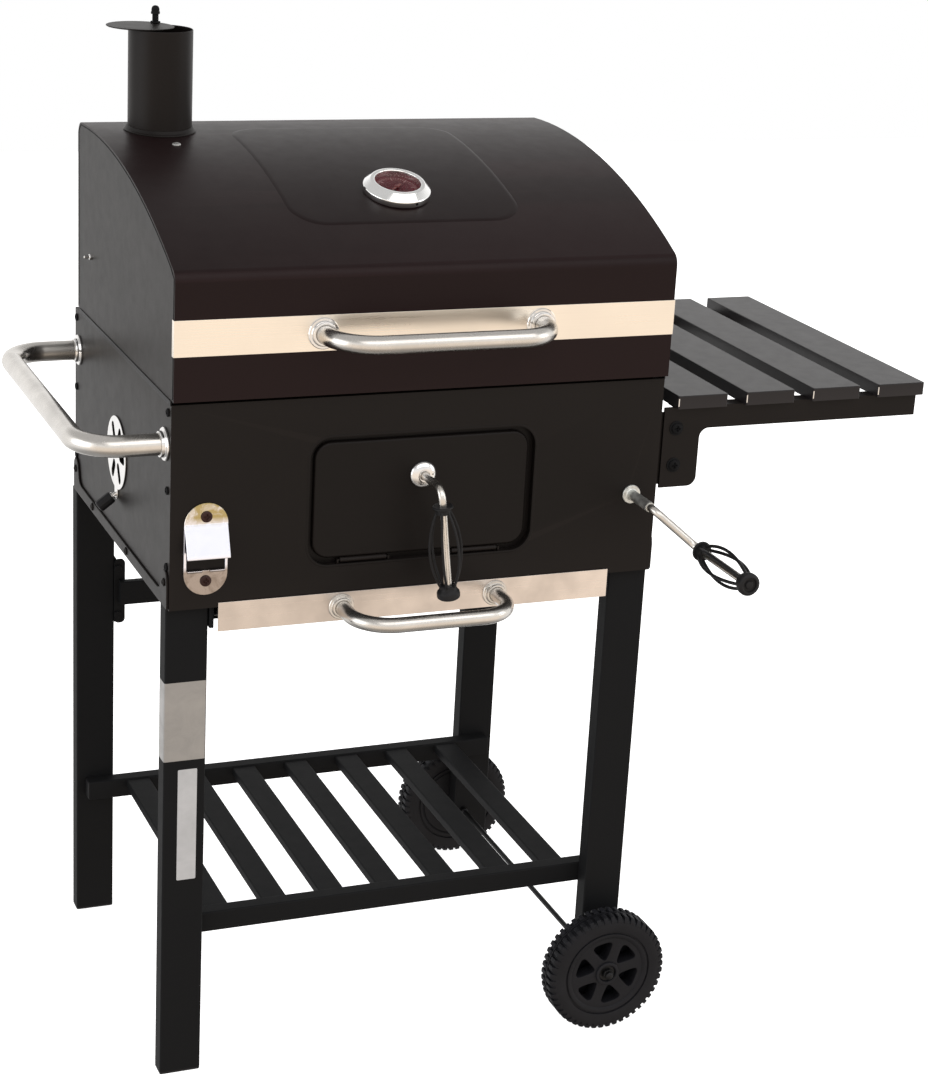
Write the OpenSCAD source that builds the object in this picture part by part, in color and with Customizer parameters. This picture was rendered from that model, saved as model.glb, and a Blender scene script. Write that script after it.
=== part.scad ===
// Charcoal grill cart: a sheet-steel firebox with a hinged lid and chimney on a four-leg
// trolley, with a slatted side table, two wheels, a hinged fuel door, an ash drawer and a
// crank that raises the charcoal pan.
// X runs to the side table, Y to the back, Z up. The origin is on the floor, at the
// centre of the whole outline.

/* [Firebox] */
// Outer width of the firebox
box_w = 600; // [560:5:640]
// Outer depth of the firebox
box_d = 460; // [430:5:480]
// Height of the firebox floor above the ground
box_bottom = 603; // [600:1:606]
// Height of the firebox rim above the ground
box_top = 843; // [841:1:845]
// Thickness of the painted sheet
sheet = 1.5; // [1.2:0.1:1.8]

/* [Lid] */
// Height of the lid's lower edge above the ground
lid_bottom = 848; // [847:1:850]
// How far the lid front stands forward of the firebox front
lid_overhang = 8; // [4:1:10]
// How far the lid back stands inside the firebox back
lid_back_inset = 16; // [14:1:18]
// Radius of the lid's curved top
lid_arc_r = 868; // [860:1:880]

/* [Chimney] */
// Outer radius of the chimney pipe
pipe_r = 38.5; // [36:0.5:40]
// Height of the pipe's rim above the ground
pipe_top = 1202; // [1190:1:1215]
// Angle at which the cap stands open
cap_angle = 47; // [0:1:60]

/* [Trolley] */
// Width of a leg tube
leg_w = 50; // [45:1:52]
// Depth of a leg tube
leg_d = 24; // [22:1:26]
// Height of the shelf rails' top above the ground
shelf_z = 198; // [190:1:206]
// Number of shelf slats
shelf_slat_count = 7; // [6:1:8]
// Outer radius of a wheel
wheel_r = 79; // [76:1:80]
// Width of a wheel
wheel_w = 34; // [32:1:36]

/* [Side table] */
// Height of the slats' top above the ground
table_z = 820; // [815:1:824]
// Width of a table slat
slat_w = 66; // [60:1:68]
// Distance between neighbouring slats' left edges
slat_pitch = 91.5; // [86:0.5:92]

/* [Handles] */
// Outer diameter of the push handle tube
push_tube_d = 25; // [22:1:26]
// How far the push handle's centre line stands out
push_reach = 94; // [85:1:98]
// How far the lid handle's centre line stands out
lid_reach = 62; // [56:1:66]
// How far the ash drawer handle's centre line stands out
drawer_reach = 74; // [70:1:76]
// Distance of the crank grip from the crank's axis
crank_throw = 64; // [58:1:66]

/* [Hidden] */
$fn = 48;

// Finishes
paint = "#2b2625";
cool_black = "#1f2023";
steel = "#c9c4bd";
chrome = "#dcdcde";
plastic = "#161616";
zinc = "#8f8f8c";
cast = "#2a2a2a";
slat_grey = "#4a4647";

// Clearances
run_gap = 0.05;
free_gap = 0.3;
lap = 0.5;

// Firebox
box_x = box_w / 2;
box_y = box_d / 2;
rim_front = 14;
rim_back = 24;
rim_lip = 8;
left_screw_z = [652, 742, 832];
right_screw_z = [652, 832];

// Fuel door in the firebox front
door_hole_x = 139;
door_hole_low = 642;
door_hole_high = 796;
door_hole_r = 26;
recess_d = 12;
recess_flange = 13;
door_gap = 6;
door_t = 5;
door_front_y = -box_y + 4;
door_axis_y = -box_y + 6;
door_axis_z = door_hole_low + 4;
hook_x = 69;
hook_w = 56;
door_pin_r = 1.5;

// Grips
grip_len = 105;
grip_r = 21;

// Door handle
door_grip_len = 98;
rod_r = 4.75;
handle_z = 743.5;
handle_reach = 56;
handle_lean = 6.8;
handle_drop = 124.2;

// Lid
lid_front_y = -box_y - lid_overhang;
lid_back_y = box_y - lid_back_inset;
arc_y = 150;
arc_z = 213.5;
front_bend_r = 15;
back_bend_r = 18;
hinge_y = box_y - 4;
hinge_z = lid_bottom + 6;
hinge_x = 200;
hinge_w = 60;
hinge_pin_r = 3;
band_low = 899;
band_high = 940;
lid_handle_x = 131;
lid_handle_z = 919.5;

// Chimney
pipe_x = -220;
pipe_y = 131;
pivot_dx = 1.5;
pivot_dy = 31;
cap_r = 40.5;
cap_t = 1.5;

// Thermometer on the curved top
thermo_y = -99;
thermo_r = 40;
needle_rest = 135;
thermo_slope = asin((thermo_y - arc_y) / lid_arc_r);

// Legs and shelf
leg_x = box_x + 1 - leg_w / 2;
front_leg_y = -220 + leg_d / 2;
back_leg_y = 242 - leg_d / 2;
leg_top = box_bottom;
foot_h = 8;
wheel_leg_bottom = 40;
rail_h = 26;
rail_d = 20;
rail_x = 288;
shelf_front_y = front_leg_y + leg_d / 2 + rail_d / 2;
shelf_back_y = back_leg_y - leg_d / 2 - rail_d / 2;
shelf_slat_w = 32;
shelf_slat_t = 12;

// Wheels
wheel_x = 264;
wheel_y = 261;
axle_r = 5;
hub_r = 16;

// Side table
table_x = 321;
slat_t = 16;
bracket_h = 28;
bracket_w = 49;
bracket_drop = 100;
bracket_t = 3;
bracket_y = 222;
bracket_x = 308;

// Bottle opener
opener_x = -258.5;
opener_z = 674.5;
opener_screws = [637, 713];
opener_reach = 15;

// Ash drawer
drawer_z = 592;
drawer_band_x = 243;
drawer_band_low = 574;
drawer_band_high = 609;
drawer_handle_x = 96;
drawer_handle_r = 9;
tray_x = 232;
tray_low = 577;
tray_high = 598;
tray_back_y = 190;
tray_rim_z = 588;
runner_x = 245;

// Cooking grates
grate_z = 818;

// Crank and pan lift
crank_x = 267;
crank_z = 702;
sleeve_len = 53;
arm_angle = -41.4;
arm_bend = 70;
arm_bend_r = 16;
arm_len = (crank_throw - 2 * arm_bend_r * (1 - cos(arm_bend))) / sin(arm_bend);
arm_run = 2 * arm_bend_r * sin(arm_bend) + arm_len * cos(arm_bend);
collar_step = 5.5;
spindle_r = 6;
lift_travel = 80;
pan_left = -275;
pan_right = 225;
pan_y = 190;
pan_low = 650;
pan_high = 695;
pan_flange = 14;
pan_pin_r = 4;
pan_pin_z = 690;
pan_pin_y = [-100, 90];
arm_low = 716;
arm_high = 728;
arm_t = 10;
arm_y = [-212, 192];
guide_high = 815;
cam_x = 246;
cam_t = 3;
nut_y = 20;

// Vent on the left wall
vent_y = 8;
vent_z = 718;
vent_r = 44.5;
vent_knob_drop = 51;
vent_tab_r = 7;
vent_knob_tilt = 37;

// Outline of the whole object, for its centre
end_left = -(box_x + push_reach + push_tube_d / 2);
end_right = table_x + 3 * slat_pitch + slat_w;
crank_grip_y = -box_y - sleeve_len - arm_run - collar_step;
knob_r = 13.5;
knob_half = 11;
end_front = crank_grip_y - grip_len - knob_half;
axle_end = wheel_y + wheel_w / 2 + 9;
end_back = axle_end;
mid_x = (end_left + end_right) / 2;
mid_y = (end_front + end_back) / 2;

// ---------------------------------------------------------------- helpers

// Moves a sub-part from the firebox's centre line to the outline's centre
module part(finish) {
    color(finish) translate([-mid_x, -mid_y, 0]) children();
}

// Box between two corners
module block(low, high) {
    translate(low) cube(high - low);
}

// Cylinders along X and Y, starting at the given point
module rod_x(p, r, len) {
    translate(p) rotate([0, 90, 0]) cylinder(r = r, h = len);
}
module rod_y(p, r, len) {
    translate(p) rotate([-90, 0, 0]) cylinder(r = r, h = len);
}
module rod_z(p, r, len) {
    translate(p) cylinder(r = r, h = len);
}

// Rounded rectangle centred on x = 0, from z = low to z = high, in the plane
module rounded_rect(half_w, low, high, r) {
    translate([-half_w + r, low]) square([2 * (half_w - r), high - low]);
    translate([-half_w, low + r]) square([2 * half_w, high - low - 2 * r]);
    for (x = [-1, 1], z = [low + r, high - r]) {
        translate([x * (half_w - r), z]) circle(r = r);
    }
}

// Plate in the XZ plane, from y to y + t
module plate_xz(y, t) {
    translate([0, y + t, 0]) rotate([90, 0, 0]) linear_extrude(t) children();
}

// Plate in the YZ plane, from x to x + t: the drawing's own x axis becomes Y
module plate_yz(x, t) {
    translate([x, 0, 0]) rotate([90, 0, 90]) linear_extrude(t) children();
}

// Bent tube: a quarter of a ring in the XY plane round the origin, from +X to +Y
module elbow(bend_r, tube_r, angle = 90) {
    rotate_extrude(angle = angle) translate([bend_r, 0]) circle(r = tube_r);
}

// U-shaped handle in the XY plane, feet at x = +-half on the X axis, reaching to -Y
module u_handle(half, reach, bend_r, tube_r) {
    straight = 2 * (half - bend_r);
    union() {
        rod_x([-straight / 2, -reach, 0], tube_r, straight);
        for (side = [0, 1]) mirror([side, 0, 0]) {
            translate([half - bend_r, -reach + bend_r, 0]) rotate([0, 0, -90]) elbow(bend_r, tube_r);
            rod_y([half, -reach + bend_r, 0], tube_r, reach - bend_r);
        }
    }
}

// The same handle as a bent tube
module u_tube(half, reach, bend_r, tube_r) {
    difference() {
        u_handle(half, reach, bend_r, tube_r);
        u_handle(half, reach, bend_r, tube_r - sheet);
    }
}

// Stepped flange with its flat back on y = 0, facing -Y
module tube_flange(r, tube_r) {
    difference() {
        union() {
            rod_y([0, -3, 0], r, 3);
            rod_y([0, -8, 0], r - 4, 6);
        }
        rod_y([0, -9, 0], tube_r + run_gap, 10);
    }
}

// Pan-head screw along +Y: the head starts at y = 0 and the shank runs to y = len
module screw(head_r, head_h, shank_r, len) {
    rod_y([0, -head_h, 0], head_r, head_h);
    rod_y([0, -0.01, 0], shank_r, len);
}

// Grip of bowed wires between a collar at the origin and a knob, along -Z
module wire_grip(bow_chord) {
    bow_end_r = 7;
    bow = grip_r - 1.2 - bow_end_r;
    bow_r = (bow_chord * bow_chord / 4 + bow * bow) / (2 * bow);
    bow_angle = 2 * asin(bow_chord / 2 / bow_r);
    difference() {
        union() {
            rod_z([0, 0, -5], 9, 10);
            rod_z([0, 0, 2], 12, 3);
            translate([0, 0, -bow_chord - 6]) cylinder(r = 10, h = 12);
            translate([0, 0, -bow_chord - knob_half]) cylinder(r = knob_r, h = 9);
            for (a = [0:60:300]) {
                rotate([0, 0, a]) translate([bow_end_r + bow - bow_r, 0, -bow_chord / 2])
                    rotate([90, 0, 0]) rotate([0, 0, -bow_angle / 2])
                        rotate_extrude(angle = bow_angle) translate([bow_r, 0]) circle(r = 1.2);
            }
        }
        rod_z([0, 0, -bow_chord - 4], rod_r + run_gap, bow_chord + 20);
    }
}

// ---------------------------------------------------------------- trolley

module leg(side, y, bottom) {
    difference() {
        translate([side * leg_x - leg_w / 2, y - leg_d / 2, bottom]) cube([leg_w, leg_d, leg_top - bottom]);
        translate([side * leg_x - leg_w / 2 + sheet, y - leg_d / 2 + sheet, bottom - 1])
            cube([leg_w - 2 * sheet, leg_d - 2 * sheet, leg_top - bottom + 2]);
    }
}

// Holes for the axle through both walls of a wheel-side leg
module axle_bore() {
    rod_y([wheel_x, -wheel_y, wheel_r], axle_r + run_gap, 2 * wheel_y);
}

module leg_front_left() part(cool_black) leg(-1, front_leg_y, foot_h - 5);
module leg_back_left() part(cool_black) leg(-1, back_leg_y, foot_h - 5);
module leg_front_right() part(cool_black) difference() {
    leg(1, front_leg_y, wheel_leg_bottom);
    axle_bore();
}
module leg_back_right() part(cool_black) difference() {
    leg(1, back_leg_y, wheel_leg_bottom);
    axle_bore();
}

// Plug in a leg's lower end: a sole under the tube and a core inside it
module leg_plug(side, y, bottom) {
    translate([side * leg_x, y, 0]) {
        translate([-leg_w / 2, -leg_d / 2, bottom - 3]) cube([leg_w, leg_d, 3]);
        translate([-leg_w / 2 + sheet, -leg_d / 2 + sheet, bottom])
            cube([leg_w - 2 * sheet, leg_d - 2 * sheet, foot_h]);
    }
}

module leg_feet() part(plastic) {
    for (y = [front_leg_y, back_leg_y]) {
        leg_plug(-1, y, foot_h - 5);
        leg_plug(1, y, wheel_leg_bottom);
    }
}

module shelf_rail(y) {
    difference() {
        block([-rail_x, y - rail_d / 2, shelf_z - rail_h], [rail_x, y + rail_d / 2, shelf_z]);
        block([-rail_x - 1, y - rail_d / 2 + sheet, shelf_z - rail_h + sheet],
              [rail_x + 1, y + rail_d / 2 - sheet, shelf_z - sheet]);
    }
}

module shelf_front_rail() part(cool_black) shelf_rail(shelf_front_y);
module shelf_back_rail() part(cool_black) shelf_rail(shelf_back_y);

// Flat tubes that run from rail to rail
module shelf_slats() part(cool_black) {
    first = -box_x + leg_w + shelf_slat_w / 2 + 12;
    pitch = -2 * first / (shelf_slat_count - 1);
    low = shelf_front_y + rail_d / 2;
    high = shelf_back_y - rail_d / 2;
    for (i = [0:shelf_slat_count - 1]) {
        x = first + i * pitch;
        difference() {
            block([x - shelf_slat_w / 2, low, shelf_z - shelf_slat_t - 2],
                  [x + shelf_slat_w / 2, high, shelf_z - 2]);
            block([x - shelf_slat_w / 2 + sheet, low - 1, shelf_z - shelf_slat_t - 2 + sheet],
                  [x + shelf_slat_w / 2 - sheet, high + 1, shelf_z - 2 - sheet]);
        }
    }
}

// Bar between the two back legs, with a plate on each end against the leg
module rear_crossbar() part(cool_black) {
    front = back_leg_y - leg_d / 2;
    block([-box_x + 5, front - 3, 417], [-box_x + 62, front, 506]);
    block([box_x - 62, front - 3, 417], [box_x - 5, front, 506]);
    block([-box_x + 56, front - 15, 446], [box_x - 56, front - 3, 478]);
}

module wheel_axle() part(zinc) rod_y([wheel_x, -axle_end + 6, wheel_r], axle_r, 2 * axle_end - 12);

// Cap nut and washer at each end of the axle, and the spacer behind the front wheel
module axle_nuts() part(zinc) {
    for (side = [0, 1]) mirror([0, side, 0]) {
        difference() {
            union() {
                rod_y([wheel_x, -axle_end, wheel_r], 8, 6.5);
                rod_y([wheel_x, -axle_end + 6.5, wheel_r], 11, 2);
            }
            rod_y([wheel_x, -axle_end + 4, wheel_r], axle_r, 8);
        }
    }
    spacer_y = -wheel_y + wheel_w / 2 + 0.5;
    difference() {
        rod_y([wheel_x, spacer_y, wheel_r], 8, front_leg_y - leg_d / 2 - spacer_y);
        rod_y([wheel_x, spacer_y - 1, wheel_r], axle_r + run_gap, 40);
    }
}

// Moulded wheel: rim, hub and six spokes
module wheel(y) {
    rim_in = wheel_r - 17;
    difference() {
        translate([wheel_x, y, wheel_r]) rotate([90, 0, 0]) union() {
            rotate_extrude() polygon([
                [rim_in, -wheel_w / 2 + 3], [wheel_r - 3, -wheel_w / 2], [wheel_r, -wheel_w / 2 + 4],
                [wheel_r, wheel_w / 2 - 4], [wheel_r - 3, wheel_w / 2], [rim_in, wheel_w / 2 - 3]]);
            cylinder(r = hub_r, h = wheel_w, center = true);
            for (a = [0:60:300]) rotate([0, 0, a]) translate([hub_r - 3, -5, -6])
                cube([rim_in - hub_r + 6, 10, 12]);
            translate([0, 0, -2]) difference() {
                cylinder(r = rim_in + 2, h = 4);
                translate([0, 0, -1]) cylinder(r = rim_in - 8, h = 6);
            }
        }
        rod_y([wheel_x, y - wheel_w, wheel_r], axle_r + run_gap, 2 * wheel_w);
    }
}

module wheel_front() part(plastic) wheel(-wheel_y);
module wheel_back() part(plastic) wheel(wheel_y);

// ---------------------------------------------------------------- firebox

module door_outline(grow) {
    rounded_rect(door_hole_x + grow, door_hole_low - grow, door_hole_high + grow, door_hole_r + grow);
}

// Rim along the top of a wall that faces -Y: a flange that turns in and then up
module rim(depth) {
    half_len = box_x - sheet;
    block([-half_len, -box_y, box_top - sheet], [half_len, -box_y + depth, box_top]);
    block([-half_len + rim_front, -box_y + depth - sheet, box_top - sheet],
          [half_len - rim_front, -box_y + depth, box_top + rim_lip]);
}

// Front wall with the recess that the fuel door sits in, and the door's two hinge pins
module firebox_front() part(paint) {
    difference() {
        union() {
            difference() {
                block([-box_x, -box_y, box_bottom], [box_x, -box_y + sheet, box_top]);
                plate_xz(-box_y - 1, 4) door_outline(0);
            }
            plate_xz(-box_y, recess_d) difference() {
                door_outline(sheet);
                door_outline(0);
            }
            plate_xz(-box_y + recess_d - sheet, sheet) difference() {
                door_outline(sheet);
                door_outline(-recess_flange);
            }
            rim(rim_front);
            for (x = [-hook_x, hook_x]) {
                rod_x([x - hook_w / 2 - 4, door_axis_y, door_axis_z], door_pin_r, hook_w + 8);
                for (e = [-1, 1])
                    translate([x + e * (hook_w / 2 + 3) - 1, door_axis_y - 2.5, door_hole_low - 1])
                    cube([2, 5, door_axis_z + door_pin_r - door_hole_low + 1]);
            }
        }
        rod_y([crank_x, -box_y - 1, crank_z], 7.5, 4);
        for (z = opener_screws) rod_y([opener_x, -box_y - 1, z], 2 + run_gap, 4);
    }
}

module firebox_back() part(paint) {
    mirror([0, 1, 0]) {
        block([-box_x, -box_y, box_bottom], [box_x, -box_y + sheet, box_top]);
        rim(rim_back);
    }
}

// Places children at the screws of the left wall, their +Y into the wall
module at_side_screws(levels) {
    for (y = [-218, 220], z = levels) translate([-box_x, y, z]) rotate([0, 0, -90]) children();
    for (y = [-46, 125]) translate([-box_x, y, box_bottom + 9]) rotate([0, 0, -90]) children();
}

// Side wall between the front and back walls: flanges turned in at the bottom and top, screw
// holes, and two pads on the top flange that the closed lid rests on
module side_wall(levels) {
    inner_y = box_y - sheet;
    difference() {
        block([-box_x, -inner_y, box_bottom], [-box_x + sheet, inner_y, box_top]);
        at_side_screws(levels) rod_y([0, -1, 0], 2.5 + run_gap, sheet + 2);
    }
    for (y = [-170, 150]) block([-box_x, y - 10, box_top - sheet], [-box_x + 8, y + 10, lid_bottom]);
    block([-box_x, -inner_y, box_bottom], [-box_x + 25, inner_y, box_bottom + sheet]);
    rim_low = -box_y + rim_front;
    rim_high = box_y - rim_back;
    block([-box_x, rim_low, box_top - sheet], [-box_x + rim_front, rim_high, box_top]);
    block([-box_x + rim_front - sheet, rim_low, box_top - sheet],
          [-box_x + rim_front, rim_high, box_top + rim_lip]);
}

// Six round-cornered air slots round a centre, in the plane
module vent_slots(r_in, r_out, slot_w) {
    for (a = [0:60:300]) rotate(a) {
        translate([r_in, -slot_w / 2]) square([r_out - r_in, slot_w]);
        for (r = [r_in, r_out]) translate([r, 0]) circle(r = slot_w / 2);
    }
}

module firebox_left() part(paint) difference() {
    side_wall(left_screw_z);
    plate_yz(-box_x - 1, 4) translate([vent_y, vent_z]) {
        vent_slots(19, 33, 12);
        circle(r = 3 + run_gap);
    }
}

module firebox_right() part(paint) mirror([1, 0, 0]) side_wall(right_screw_z);

// Floor with the opening that ash falls through
module firebox_floor() part(paint) difference() {
    block([-box_x + 26, -box_y + sheet, box_bottom], [box_x - 26, box_y - sheet, box_bottom + sheet]);
    block([-tray_x + 12, -box_y + 25, box_bottom - 1], [tray_x - 12, tray_back_y - 12, box_bottom + 3]);
}

// Two channels under the floor that the ash tray's rims run in
module drawer_runners() part(cool_black) {
    for (side = [0, 1]) mirror([side, 0, 0]) {
        block([runner_x, -box_y + 8, drawer_band_low + 1], [runner_x + 5, tray_back_y + 20, box_bottom]);
        block([tray_x + 2, -box_y + 8, tray_rim_z - 2], [runner_x, tray_back_y + 20, tray_rim_z - 0.5]);
    }
}

// Screws of the side walls, one column for each corner, and the bottle opener's two. The
// right wall has none at the height of the side table's angles.
module panel_screws() part(zinc) {
    at_side_screws(left_screw_z) screw(5, 3, 2.5, 8);
    mirror([1, 0, 0]) at_side_screws(right_screw_z) screw(5, 3, 2.5, 8);
    for (z = opener_screws) translate([opener_x, -box_y - 2, z]) screw(4.5, 2.5, 2, 8);
}

module push_handle() part(steel) translate([-box_x, 0, 793]) rotate([0, 0, -90])
    u_tube(207, push_reach, 48, push_tube_d / 2);

module push_handle_flanges() part(chrome) {
    for (y = [-207, 207]) translate([-box_x, y, 793]) rotate([0, 0, -90]) tube_flange(19, push_tube_d / 2);
}

// Round-ended plate with a window, a hood bent out over it and a tooth at its foot
module bottle_opener() part(chrome) translate([opener_x, -box_y, opener_z]) {
    difference() {
        plate_xz(-2, 2) rounded_rect(25.5, -54.5, 54.5, 25.4);
        block([-21, -3, -25], [21, 1, 20]);
        for (z = opener_screws) rod_y([0, -3, z - opener_z], 2 + run_gap, 4);
    }
    plate_yz(-25, 50) polygon([[-1, 27], [-2, 27], [-opener_reach, -4], [-opener_reach - 1, -7],
                               [-opener_reach + 1, -7.6], [-opener_reach + 2, -4.5], [-1, 23]]);
    block([-21, -5, -27], [21, -1, -25]);
}

// ---------------------------------------------------------------- side table

module table_slats() part(slat_grey) {
    for (i = [0:3]) {
        x = table_x + i * slat_pitch;
        difference() {
            block([x, -231, table_z - slat_t], [x + slat_w, 231, table_z]);
            block([x + sheet, -231 + sheet, table_z - slat_t - 1],
                  [x + slat_w - sheet, 231 - sheet, table_z - sheet]);
        }
    }
}

// L-shaped bracket plate: an arm under the slats and a round-cornered leg at the firebox
module bracket_outline() {
    top = table_z - slat_t;
    arm_end = end_right - 5;
    inner_r = 12;
    difference() {
        union() {
            translate([bracket_x, top - bracket_h]) square([arm_end - bracket_x, bracket_h]);
            translate([bracket_x, top - bracket_drop + 12]) square([bracket_w, bracket_drop - 12]);
            translate([bracket_x, top - bracket_drop]) square([bracket_w - 12, 13]);
            translate([bracket_x + bracket_w - 12, top - bracket_drop + 12]) circle(r = 12);
            translate([bracket_x + bracket_w - 1, top - bracket_h - inner_r])
                square([inner_r + 1, inner_r + 1]);
        }
        translate([bracket_x + bracket_w + inner_r, top - bracket_h - inner_r]) circle(r = inner_r);
    }
}

module table_brackets() part(paint) {
    top = table_z - slat_t;
    for (side = [0, 1]) mirror([0, side, 0]) difference() {
        union() {
            plate_xz(-bracket_y, bracket_t) bracket_outline();
            block([table_x + 1, -bracket_y, top - sheet], [end_right - 5, -bracket_y + 20, top]);
        }
        for (z = [top - 26, top - 72]) rod_y([bracket_x + 17, -bracket_y - 1, z], 4 + run_gap, bracket_t + 2);
    }
}

// Angle on the firebox wall that each bracket is bolted to
module table_angles() part(paint) {
    top = table_z - slat_t;
    for (side = [0, 1]) mirror([0, side, 0]) difference() {
        union() {
            block([box_x, -bracket_y + bracket_t, top - 96],
                  [box_x + 38, -bracket_y + bracket_t + 2, top - 6]);
            block([box_x, -bracket_y + bracket_t, top - 96],
                  [box_x + 2, -bracket_y + bracket_t + 32, top - 6]);
        }
        for (z = [top - 26, top - 72]) rod_y([bracket_x + 17, -bracket_y, z], 4 + run_gap, 8);
    }
}

module table_bolts() part(cool_black) {
    top = table_z - slat_t;
    for (side = [0, 1]) mirror([0, side, 0]) for (z = [top - 26, top - 72]) {
        translate([bracket_x + 17, -bracket_y, z]) {
            screw(7, 4, 4, 10);
            rod_y([0, bracket_t + 2, 0], 6.5, 4);
        }
    }
}

// ---------------------------------------------------------------- inside the firebox

// Two cast cooking grates side by side
module cooking_grates() part(cast) {
    low = -box_y + rim_front + 4;
    high = box_y - rim_back - 4;
    slot_len = (high - low) / 2 - 21;
    for (side = [0, 1]) mirror([side, 0, 0]) difference() {
        block([1, low, grate_z], [box_x - 20, high, grate_z + 8]);
        for (i = [0:9], start = [low + 14, high - 14 - slot_len]) {
            block([15 + i * 26, start, grate_z - 1], [28 + i * 26, start + slot_len, grate_z + 9]);
        }
    }
}

// Angles on the front and back walls that the cooking grates lie on
module grate_ledges() part(zinc) {
    for (side = [0, 1]) mirror([0, side, 0]) {
        block([-box_x + 20, -box_y + sheet, grate_z - 2], [box_x - 20, -box_y + 38, grate_z]);
        block([-box_x + 20, -box_y + sheet, grate_z - 18], [box_x - 20, -box_y + sheet + 2, grate_z]);
    }
}

// Crank bearings: a flanged sleeve on the front wall and a plate at the back
module crank_bushes() part(zinc) {
    difference() {
        union() {
            rod_y([crank_x, -box_y - 3, crank_z], 11.5, 3);
            rod_y([crank_x, -box_y - sleeve_len, crank_z], 6.3, sleeve_len + 10);
        }
        rod_y([crank_x, -box_y - sleeve_len - 1, crank_z], rod_r + run_gap, sleeve_len + 20);
    }
    difference() {
        block([crank_x - 20, box_y - sheet - 12, crank_z - 20], [box_x - sheet, box_y - sheet, crank_z + 20]);
        rod_y([crank_x, box_y - 30, crank_z], rod_r + run_gap, 40);
    }
}

// Upright rails on the right wall that keep the charcoal pan level
module lift_guides() part(zinc) {
    wall = box_x - sheet;
    for (y = arm_y) {
        block([wall - 12, y - free_gap - 2, arm_low - 16], [wall, y - free_gap, guide_high]);
        block([wall - 12, y + arm_t + free_gap, arm_low - 16], [wall, y + arm_t + free_gap + 2, guide_high]);
        block([wall - 2, y - free_gap, arm_low - 16], [wall, y + arm_t + free_gap, guide_high]);
    }
}

// ---------------------------------------------------------------- lid

// Section through the lid, taken in by t on every side but the open bottom
module lid_section(t) {
    r = lid_arc_r - t;
    low_y = lid_front_y + t;
    high_y = lid_back_y - t;
    front_cy = lid_front_y + front_bend_r;
    back_cy = lid_back_y - back_bend_r;
    front_cz = arc_z + sqrt(pow(lid_arc_r - front_bend_r, 2) - pow(front_cy - arc_y, 2));
    back_cz = arc_z + sqrt(pow(lid_arc_r - back_bend_r, 2) - pow(back_cy - arc_y, 2));
    front_a = atan2(front_cz - arc_z, front_cy - arc_y);
    back_a = atan2(back_cz - arc_z, back_cy - arc_y);
    difference() {
        intersection() {
            translate([low_y, lid_bottom]) square([high_y - low_y, 300]);
            translate([arc_y, arc_z]) circle(r = r, $fn = 1440);
        }
        polygon([[front_cy, front_cz], [front_cy - 40, front_cz],
                 [front_cy - 40, front_cz + 40],
                 [front_cy + 60 * cos(front_a), front_cz + 60 * sin(front_a)]]);
        polygon([[back_cy, back_cz], [back_cy + 40, back_cz],
                 [back_cy + 40, back_cz + 60],
                 [back_cy + 60 * cos(back_a), back_cz + 60 * sin(back_a)]]);
    }
    translate([front_cy, front_cz]) circle(r = front_bend_r - t);
    translate([back_cy, back_cz]) circle(r = back_bend_r - t);
}

// Places children on the lid's curved top at the thermometer, their Z along the surface normal
module on_thermometer() {
    translate([0, thermo_y, arc_z + lid_arc_r * cos(thermo_slope)]) rotate([-thermo_slope, 0, 0]) children();
}

module lid_shell() part(paint) difference() {
    plate_yz(-box_x, box_w) difference() {
        lid_section(0);
        lid_section(sheet);
    }
    rod_z([pipe_x, pipe_y, 1000], pipe_r + run_gap, 120);
    on_thermometer() rod_z([0, 0, -10], 4.3, 20);
}

module lid_end_left() part(paint) plate_yz(-box_x, sheet) lid_section(sheet);
module lid_end_right() part(paint) plate_yz(box_x - sheet, sheet) lid_section(sheet);

// Stainless strip across the lid front, turned round both ends
module lid_band() part(steel) {
    t = 0.8;
    block([-box_x - t, lid_front_y - t, band_low], [box_x + t, lid_front_y, band_high]);
    for (side = [0, 1]) mirror([side, 0, 0])
        block([-box_x - t, lid_front_y, band_low], [-box_x, lid_front_y + 7, band_high]);
}

module lid_handle() part(steel) translate([0, lid_front_y - 0.8, lid_handle_z])
    u_tube(lid_handle_x, lid_reach, 50, 10.5);

module lid_handle_flanges() part(chrome) {
    for (x = [-lid_handle_x, lid_handle_x])
        translate([x, lid_front_y - 0.8, lid_handle_z]) tube_flange(18, 10.5);
}

// Two hinges at the back: knuckles and pin on the firebox, the middle knuckle on the lid
module lid_hinge_brackets() part(zinc) {
    for (x = [-hinge_x, hinge_x]) {
        block([x - hinge_w / 2, box_y, hinge_z - 50], [x + hinge_w / 2, box_y + 2, hinge_z - 8]);
        for (s = [0, 1]) translate([x, 0, 0]) mirror([s, 0, 0]) {
            block([15, box_y, hinge_z - 9], [hinge_w / 2, box_y + 2, hinge_z]);
            rod_x([15, hinge_y, hinge_z], 6, hinge_w / 2 - 15);
        }
        rod_x([x - hinge_w / 2, hinge_y, hinge_z], hinge_pin_r, hinge_w);
    }
}

module lid_hinge_leaves() part(zinc) {
    for (x = [-hinge_x, hinge_x]) difference() {
        union() {
            block([x - hinge_w / 2, lid_back_y, hinge_z + 1],
                  [x + hinge_w / 2, lid_back_y + 2, hinge_z + 40]);
            block([x - 14.5, lid_back_y, hinge_z - 3], [x + 14.5, hinge_y, hinge_z + 3]);
            rod_x([x - 14.5, hinge_y, hinge_z], 6, 29);
        }
        rod_x([x - 20, hinge_y, hinge_z], hinge_pin_r + run_gap, 40);
    }
}

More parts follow.
